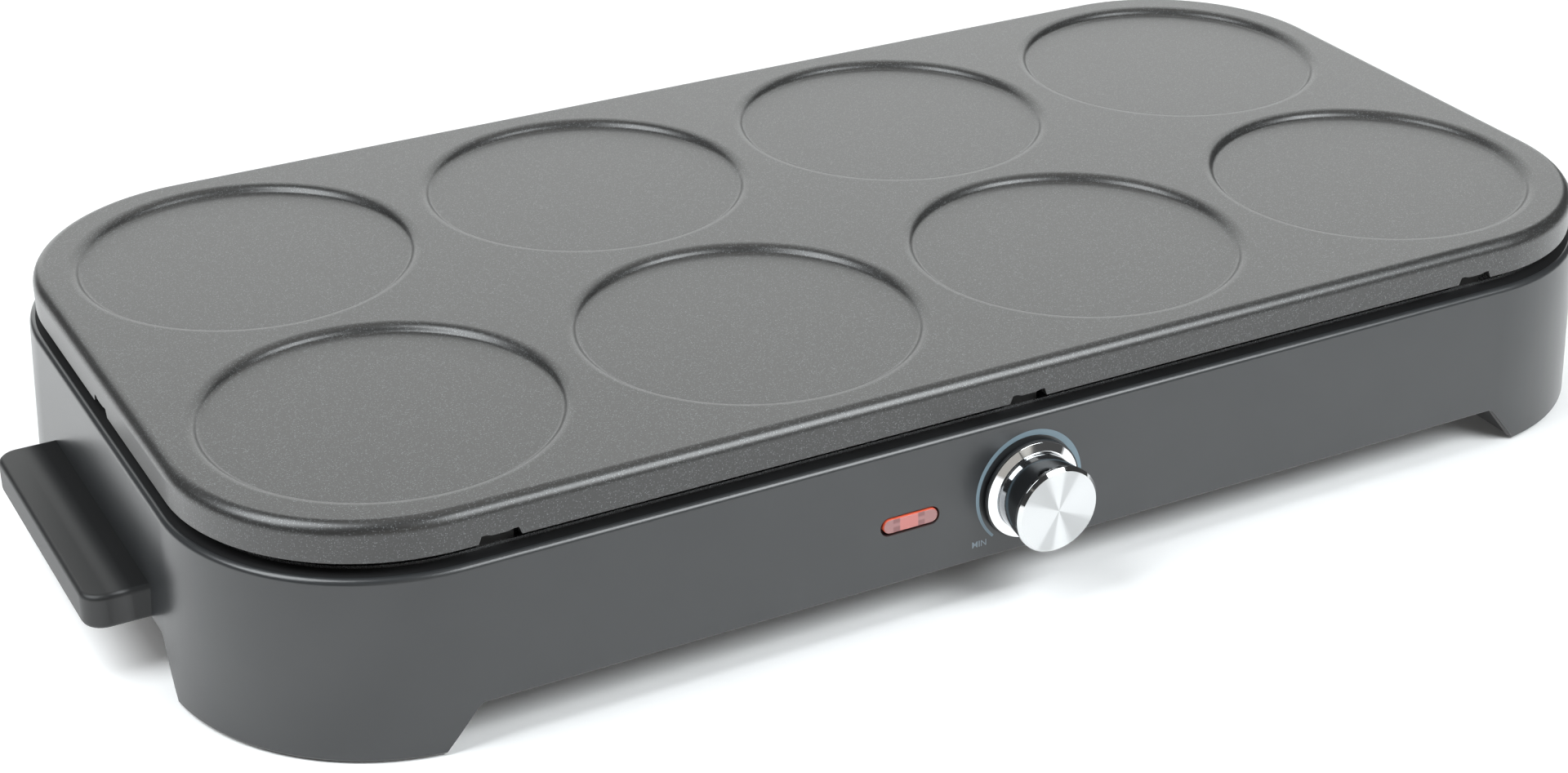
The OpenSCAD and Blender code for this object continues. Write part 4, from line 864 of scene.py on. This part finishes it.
face_share = (cap_r - cap_cut) / cap_r
face_soft = 0.004
face_only = ramp(parts.outputs["Y"], face_share + face_soft, face_share - face_soft)
face_rough = sum_of("MULTIPLY", cut_gloss.outputs["Result"], face_only)
link(sum_of("ADD", face_rough, cut_edge_rough), shader.inputs["Roughness"])
cap_piece = turned("knob_spun_cap", [
    (0, cap_at), (cap_r, cap_at), (cap_r, knob_front - cap_cut_h),
    (cap_r - cap_cut, knob_front), (0, knob_front),
], cap_ease, spun)
turning = cap_piece.data.uv_layers.new(name="turning")
for face in cap_piece.data.polygons:
    centre = face.center
    middle_turn = math.atan2(centre.z - knob_z * MM, centre.x - knob_x * MM) / (2 * math.pi)
    for loop in face.loop_indices:
        spot = cap_piece.data.vertices[cap_piece.data.loops[loop].vertex_index].co
        dx, dz = spot.x - knob_x * MM, spot.z - knob_z * MM
        r = math.hypot(dx, dz)
        turn = math.atan2(dz, dx) / (2 * math.pi) if r > 1e-6 else middle_turn
        turn += round(middle_turn - turn)
        turning.data[loop].uv = (turn, r / MM / cap_r)
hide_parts("knob_cap")

# Cooking plate: a die-cast aluminium plate with a dark, finely flecked non-stick coat.
# Eight shallow round wells are sunk into its top, its skirt hangs over the base's rim, and small
# notches in the skirt stand over the blocks that carry it. It lifts straight off.
plate_top = plate_high.z / MM
skirt_z = plate_low.z / MM
plate_edge_r = 4.2
skirt_t = 3.2
skirt_low_r = 0.5
deck_z = 73.0
well_under = 70.0
pitch_x = 125.0
pitch_y = 124.0
well_r = 59.05
rim_soft_r = 7.0
rim_soft_turn = 14
rim_tight_r = 3.2
well_wall_turn = 49
well_wall_drop = 0.47
well_floor_r = 2.0
well_steps = 128
well_skirt_r = 58.4
notch_x = 178.9
notch_half = ((2.6, 2.0), (4.2, 2.5), (5.8, 2.5), (6.8, 0))
notch_shape = [(-along, lift) for along, lift in reversed(notch_half)] + list(notch_half)
plate_edge_steps = 10
skirt_low_steps = 3
rim_soft_steps = 4
rim_tight_steps = 8
well_floor_steps = 6


def notch_lift(along, middles):
    """Height of the skirt's lower edge above its usual level, in the notches."""
    for middle in middles:
        for (a, low), (b, high) in zip(notch_shape, notch_shape[1:]):
            if a <= along - middle <= b:
                return low + (high - low) * (along - middle - a) / (b - a)
    return 0.0


def skirt_edge(station):
    """Height of the skirt's lower edge at a station of the outline."""
    spot, way = station
    if way[0] == 0:
        return skirt_z + notch_lift(spot[0], (-notch_x, 0, notch_x))
    if way[1] == 0:
        return skirt_z + notch_lift(spot[1], (0,))
    return skirt_z


def skirt_round(station):
    """The rounded lower edge of the skirt, from its underside to its face."""
    return arc(-skirt_low_r, skirt_edge(station) + skirt_low_r, skirt_low_r, -90, 0, skirt_low_steps)


notch_stops = [along for along, _ in notch_shape]
plate_round = outline([m + a for m in (-notch_x, 0, notch_x) for a in notch_stops], notch_stops)
top_edge = arc(-plate_edge_r, plate_top - plate_edge_r, plate_edge_r, 0, 90, plate_edge_steps)
plate = Skin()
plate.sheet(carried(plate_round, lambda s: skirt_round(s) + top_edge))
plate.sheet(carried(plate_round, lambda s: [(-skirt_low_r, skirt_edge(s), None, None),
                                            (-skirt_t, skirt_edge(s), None, None)]))
plate.sheet(carried(plate_round, lambda s: [(-skirt_t, skirt_edge(s), -1, 0), (-skirt_t, deck_z, -1, 0)]))
well_middles = [(i * pitch_x / 2, j * pitch_y / 2) for i in (-3, -1, 1, 3) for j in (-1, 1)]


def ring_points(middle, r):
    """Points of a circle, as a loop."""
    turns = [2 * math.pi * i / well_steps for i in range(well_steps)]
    return [(middle[0] + r * math.cos(a), middle[1] + r * math.sin(a)) for a in turns]


def loop_at(out):
    """The plate's outline moved out or in, as a loop."""
    return [(spot[0] + out * way[0], spot[1] + out * way[1]) for spot, way in plate_round[:-1]]


plate.fill([loop_at(-plate_edge_r)] + [ring_points(m, well_r) for m in well_middles],
           lambda p: (p[0], p[1], plate_top), lambda p: (0, 0, 1))
plate.fill([loop_at(-skirt_t)] + [ring_points(m, well_skirt_r) for m in well_middles],
           lambda p: (p[0], p[1], deck_z), lambda p: (0, 0, -1))
rest_in = 8.0
rest_half = (6.0, 3.2)
rests = [(m, s * (half_w - rest_in), False) for m in (-notch_x, 0, notch_x) for s in (-1, 1)]
rests += [(s * (half_l - rest_in), 0, True) for s in (-1, 1)]
for x, y, turned_end in rests:
    hx, hy = rest_half[::-1] if turned_end else rest_half
    corners = [(x - hx, y - hy), (x + hx, y - hy), (x + hx, y + hy), (x - hx, y + hy)]
    plate.face([((*c, well_under), (0, 0, -1)) for c in corners])
    for c, d in zip(corners, corners[1:] + corners[:1]):
        out = ((c[0] + d[0]) / 2 - x, (c[1] + d[1]) / 2 - y, 0)
        plate.sheet([[((*c, z), out), ((*d, z), out)] for z in (well_under, deck_z)])

coated = bpy.data.materials.new("coated_plate")
coated.use_nodes = True
nodes, link = coated.node_tree.nodes, coated.node_tree.links.new
shader = nodes["Principled BSDF"]
shader.inputs["Specular IOR Level"].default_value = 0.71
where = nodes.new("ShaderNodeTexCoord")
flecks = nodes.new("ShaderNodeTexVoronoi")
flecks.inputs["Scale"].default_value = 2400.0
link(where.outputs["Object"], flecks.inputs["Vector"])
chance = nodes.new("ShaderNodeSeparateColor")
link(flecks.outputs["Color"], chance.inputs["Color"])
fleck_chance = (0.55, 1.0)
fleck_size = (0.55, 0.2)
chosen = ramp(chance.outputs["Red"], *fleck_chance)
dot = ramp(flecks.outputs["Distance"], *fleck_size)
fleck = sum_of("MULTIPLY", chosen, dot)
coat_dark = (0.0160, 0.0155, 0.0150)
coat_fleck = (0.13, 0.140, 0.142)
link(over(fleck, coat_dark, coat_fleck), shader.inputs["Base Color"])
grain = nodes.new("ShaderNodeTexNoise")
grain.inputs["Scale"].default_value = 2600.0
grain.inputs["Detail"].default_value = 3.0
link(where.outputs["Object"], grain.inputs["Vector"])
gloss = nodes.new("ShaderNodeMapRange")
gloss.inputs["To Min"].default_value = 0.28
gloss.inputs["To Max"].default_value = 0.40
link(grain.outputs["Fac"], gloss.inputs["Value"])
link(gloss.outputs["Result"], shader.inputs["Roughness"])
raised = nodes.new("ShaderNodeBump")
raised.inputs["Strength"].default_value = 0.6
raised.inputs["Distance"].default_value = 0.02 * MM
link(grain.outputs["Fac"], raised.inputs["Height"])
link(raised.outputs["Normal"], shader.inputs["Normal"])

rim_bend = arc(well_r, plate_top - rim_soft_r, rim_soft_r, 90, 90 + rim_soft_turn, rim_soft_steps)
soft_end = Vector(rim_bend[-1][:2])
soft_way = Vector(rim_bend[-1][2:])
tight_middle = soft_end - soft_way * rim_tight_r
rim_bend += arc(*tight_middle, rim_tight_r, 90 + rim_soft_turn, 90 + well_wall_turn, rim_tight_steps)[1:]
well_wall_in = well_wall_drop / math.tan(math.radians(well_wall_turn))
wall_foot = Vector(rim_bend[-1][:2]) - Vector((well_wall_in, well_wall_drop))
fillet_middle = wall_foot + Vector(rim_bend[-1][2:]) * well_floor_r
floor_round = [(out, up, -n_out, -n_up) for out, up, n_out, n_up in arc(
    *fillet_middle, well_floor_r, well_wall_turn - 90, -90, well_floor_steps)]
well_floor = fillet_middle.y - well_floor_r
well = Skin()
upright = ((1, 0, 0), (0, 1, 0), (0, 0, 1))
for run in (
    rim_bend + floor_round + [(0, well_floor, 0, 1)],
    [(well_skirt_r, deck_z, 1, 0), (well_skirt_r, well_under, 1, 0)],
    [(well_skirt_r, well_under, 0, -1), (0, well_under, 0, -1)],
):
    lathe(well, run, (0, 0, 0), *upright, well_steps)
well_bowl = well.piece("well_bowl", coated)
plate_piece = plate.piece("coated_plate", coated)


def wells_over(piece, bowl, sizes, material):
    """Joins a grid of bowls to a plate by a node tree with named pitches."""
    tree = bpy.data.node_groups.new("wells_over_plate", "GeometryNodeTree")
    tree.interface.new_socket("Plate", in_out="INPUT", socket_type="NodeSocketGeometry")
    tree.interface.new_socket("Bowl", in_out="INPUT", socket_type="NodeSocketObject")
    tree.interface.new_socket("Material", in_out="INPUT", socket_type="NodeSocketMaterial")
    for label, value in sizes.items():
        kind = "NodeSocketInt" if isinstance(value, int) else "NodeSocketFloat"
        tree.interface.new_socket(label, in_out="INPUT", socket_type=kind)
    tree.interface.new_socket("Geometry", in_out="OUTPUT", socket_type="NodeSocketGeometry")
    given = tree.nodes.new("NodeGroupInput")
    taken = tree.nodes.new("NodeGroupOutput")
    grid = tree.nodes.new("GeometryNodeMeshGrid")
    for label, socket in (("Length of rows", "Size X"), ("Width of rows", "Size Y"),
                          ("Wells along", "Vertices X"), ("Wells across", "Vertices Y")):
        tree.links.new(given.outputs[label], grid.inputs[socket])
    shape = tree.nodes.new("GeometryNodeObjectInfo")
    spread = tree.nodes.new("GeometryNodeInstanceOnPoints")
    real = tree.nodes.new("GeometryNodeRealizeInstances")
    both = tree.nodes.new("GeometryNodeJoinGeometry")
    coat = tree.nodes.new("GeometryNodeSetMaterial")
    tree.links.new(given.outputs["Bowl"], shape.inputs["Object"])
    tree.links.new(grid.outputs["Mesh"], spread.inputs["Points"])
    tree.links.new(shape.outputs["Geometry"], spread.inputs["Instance"])
    tree.links.new(spread.outputs["Instances"], real.inputs["Geometry"])
    tree.links.new(real.outputs["Geometry"], both.inputs["Geometry"])
    tree.links.new(given.outputs["Plate"], both.inputs["Geometry"])
    tree.links.new(both.outputs["Geometry"], coat.inputs["Geometry"])
    tree.links.new(given.outputs["Material"], coat.inputs["Material"])
    tree.links.new(coat.outputs["Geometry"], taken.inputs["Geometry"])
    grown(piece, tree, {**sizes, "Bowl": bowl, "Material": material})
    bpy.data.objects.remove(bowl)


wells_over(plate_piece, well_bowl, {
    "Length of rows": 3 * pitch_x * MM, "Width of rows": pitch_y * MM, "Wells along": 4, "Wells across": 2,
}, coated)
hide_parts("cooking_plate")
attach(plate_piece, "plate")

# Stage: a pale paper floor under large soft lights, and the camera of the photo.
# Only to the camera are the room and the far floor quite white. Beside the left end the floor carries a
# painted pool of light, which lifts the object's shadow there for the camera and in reflections.
floor_mesh = bpy.data.meshes.new("floor")
floor_half = 6.0
floor_mesh.from_pydata([(-floor_half, -floor_half, 0), (floor_half, -floor_half, 0),
                        (floor_half, floor_half, 0), (-floor_half, floor_half, 0)], [], [(0, 1, 2, 3)])
floor = bpy.data.objects.new("floor", floor_mesh)
bpy.context.scene.collection.objects.link(floor)
floor_paper = finish("floor_paper", (0.84, 0.84, 0.84), (0.86, 0.86, 0.86), 0.9, 4.0, 0.0)
floor_shader = floor_paper.node_tree.nodes["Principled BSDF"]
floor_shader.inputs["Emission Color"].default_value = (1, 1, 1, 1)
nodes, link = floor_paper.node_tree.nodes, floor_paper.node_tree.links.new
room_glow = 0.32
near_glow = 0.02
far_glow_start = 0.45
far_glow_end = 1.2
left_glow_level = 0.5
left_glow_start = -0.245
left_glow_end = -0.295
mirrored_share = 0.6
light_path = nodes.new("ShaderNodeLightPath")
seen = light_path.outputs["Is Camera Ray"]
mirrored = light_path.outputs["Is Glossy Ray"]
floor_place = nodes.new("ShaderNodeTexCoord").outputs["Object"]
away = nodes.new("ShaderNodeVectorMath")
away.operation = "LENGTH"
link(floor_place, away.inputs[0])
floor_spot = nodes.new("ShaderNodeSeparateXYZ")
link(floor_place, floor_spot.inputs["Vector"])
# Painted pool of light on the floor beside the left end, lifting the object's shadow; the camera sees all
# of it and reflections see part of it.
left_side = ramp(floor_spot.outputs["X"], left_glow_start, left_glow_end)
left_glow = sum_of("MULTIPLY", left_side, left_glow_level)
seen_glow = sum_of("ADD", ramp(away.outputs["Value"], far_glow_start, far_glow_end), near_glow)
seen_more = sum_of("MULTIPLY", sum_of("SUBTRACT", seen_glow, room_glow), seen)
left_share = sum_of("MAXIMUM", seen, sum_of("MULTIPLY", mirrored, mirrored_share))
left_seen = sum_of("MULTIPLY", left_glow, left_share)
glow = sum_of("ADD", sum_of("ADD", seen_more, left_seen), room_glow)
link(glow, floor_shader.inputs["Emission Strength"])
floor_mesh.materials.append(floor_paper)
world = bpy.data.worlds.new("studio")
world.use_nodes = True
room_level = 0.08
world.node_tree.nodes["Background"].inputs["Color"].default_value = (1.0, 1.0, 1.0, 1)
nodes, link = world.node_tree.nodes, world.node_tree.links.new
seen = nodes.new("ShaderNodeLightPath").outputs["Is Camera Ray"]
link(sum_of("MAXIMUM", seen, room_level), nodes["Background"].inputs["Strength"])
bpy.context.scene.world = world


def soft_light(name, spot, aim, width, height, power, tint=(1.0, 1.0, 1.0)):
    """A large rectangular light that looks at a point."""
    lamp = bpy.data.lights.new(name, "AREA")
    lamp.shape = "RECTANGLE"
    lamp.size = width
    lamp.size_y = height
    lamp.energy = power
    lamp.color = tint
    made = bpy.data.objects.new(name, lamp)
    made.location = spot
    made.rotation_euler = (Vector(aim) - Vector(spot)).to_track_quat("-Z", "Y").to_euler()
    bpy.context.scene.collection.objects.link(made)


box_tint = (0.94, 0.98, 1.0)
soft_light("backdrop", (0.30, 0.97, 0.52), (-0.16, 0.08, 0.3), 1.86, 1.00, 10.8, (0.98, 1.0, 0.99))
soft_light("right_box", (0.42, -0.80, 0.86), (0.0, -0.05, 0.05), 0.70, 0.64, 15.2, box_tint)
soft_light("left_box", (-0.77, -0.02, 0.96), (-0.1, 0.0, 0.05), 0.60, 0.80, 13.2, box_tint)
soft_light("overhead", (0.30, 0.25, 1.25), (0.0, 0.0, 0.0), 1.0, 0.9, 2.4, (1.0, 0.98, 0.95))
soft_light("room_card", (-0.45, -2.0, 0.60), (0.0, 0.0, 0.04), 1.6, 1.2, 2.6, (1.0, 0.95, 0.87))
soft_light("right_card", (0.63, -1.33, 0.72), (0.0, -0.16, 0.035), 0.9, 0.36, 0.75, (1.0, 0.97, 0.90))
camera_data = bpy.data.cameras.new("camera")
camera_data.sensor_fit = "HORIZONTAL"
camera_data.sensor_width = 36.0
camera_data.lens = 65.61
camera = bpy.data.objects.new("camera", camera_data)
camera_rise = 408.24
camera.location = in_frame((-441.23, -787.86, plate_top + camera_rise))
camera_aim = Vector(in_frame((-74.25, -108.0, plate_top)))
camera.rotation_euler = (camera_aim - camera.location).to_track_quat("-Z", "Y").to_euler()
bpy.context.scene.collection.objects.link(camera)
bpy.context.scene.camera = camera
bpy.context.scene.view_settings.view_transform = "Standard"
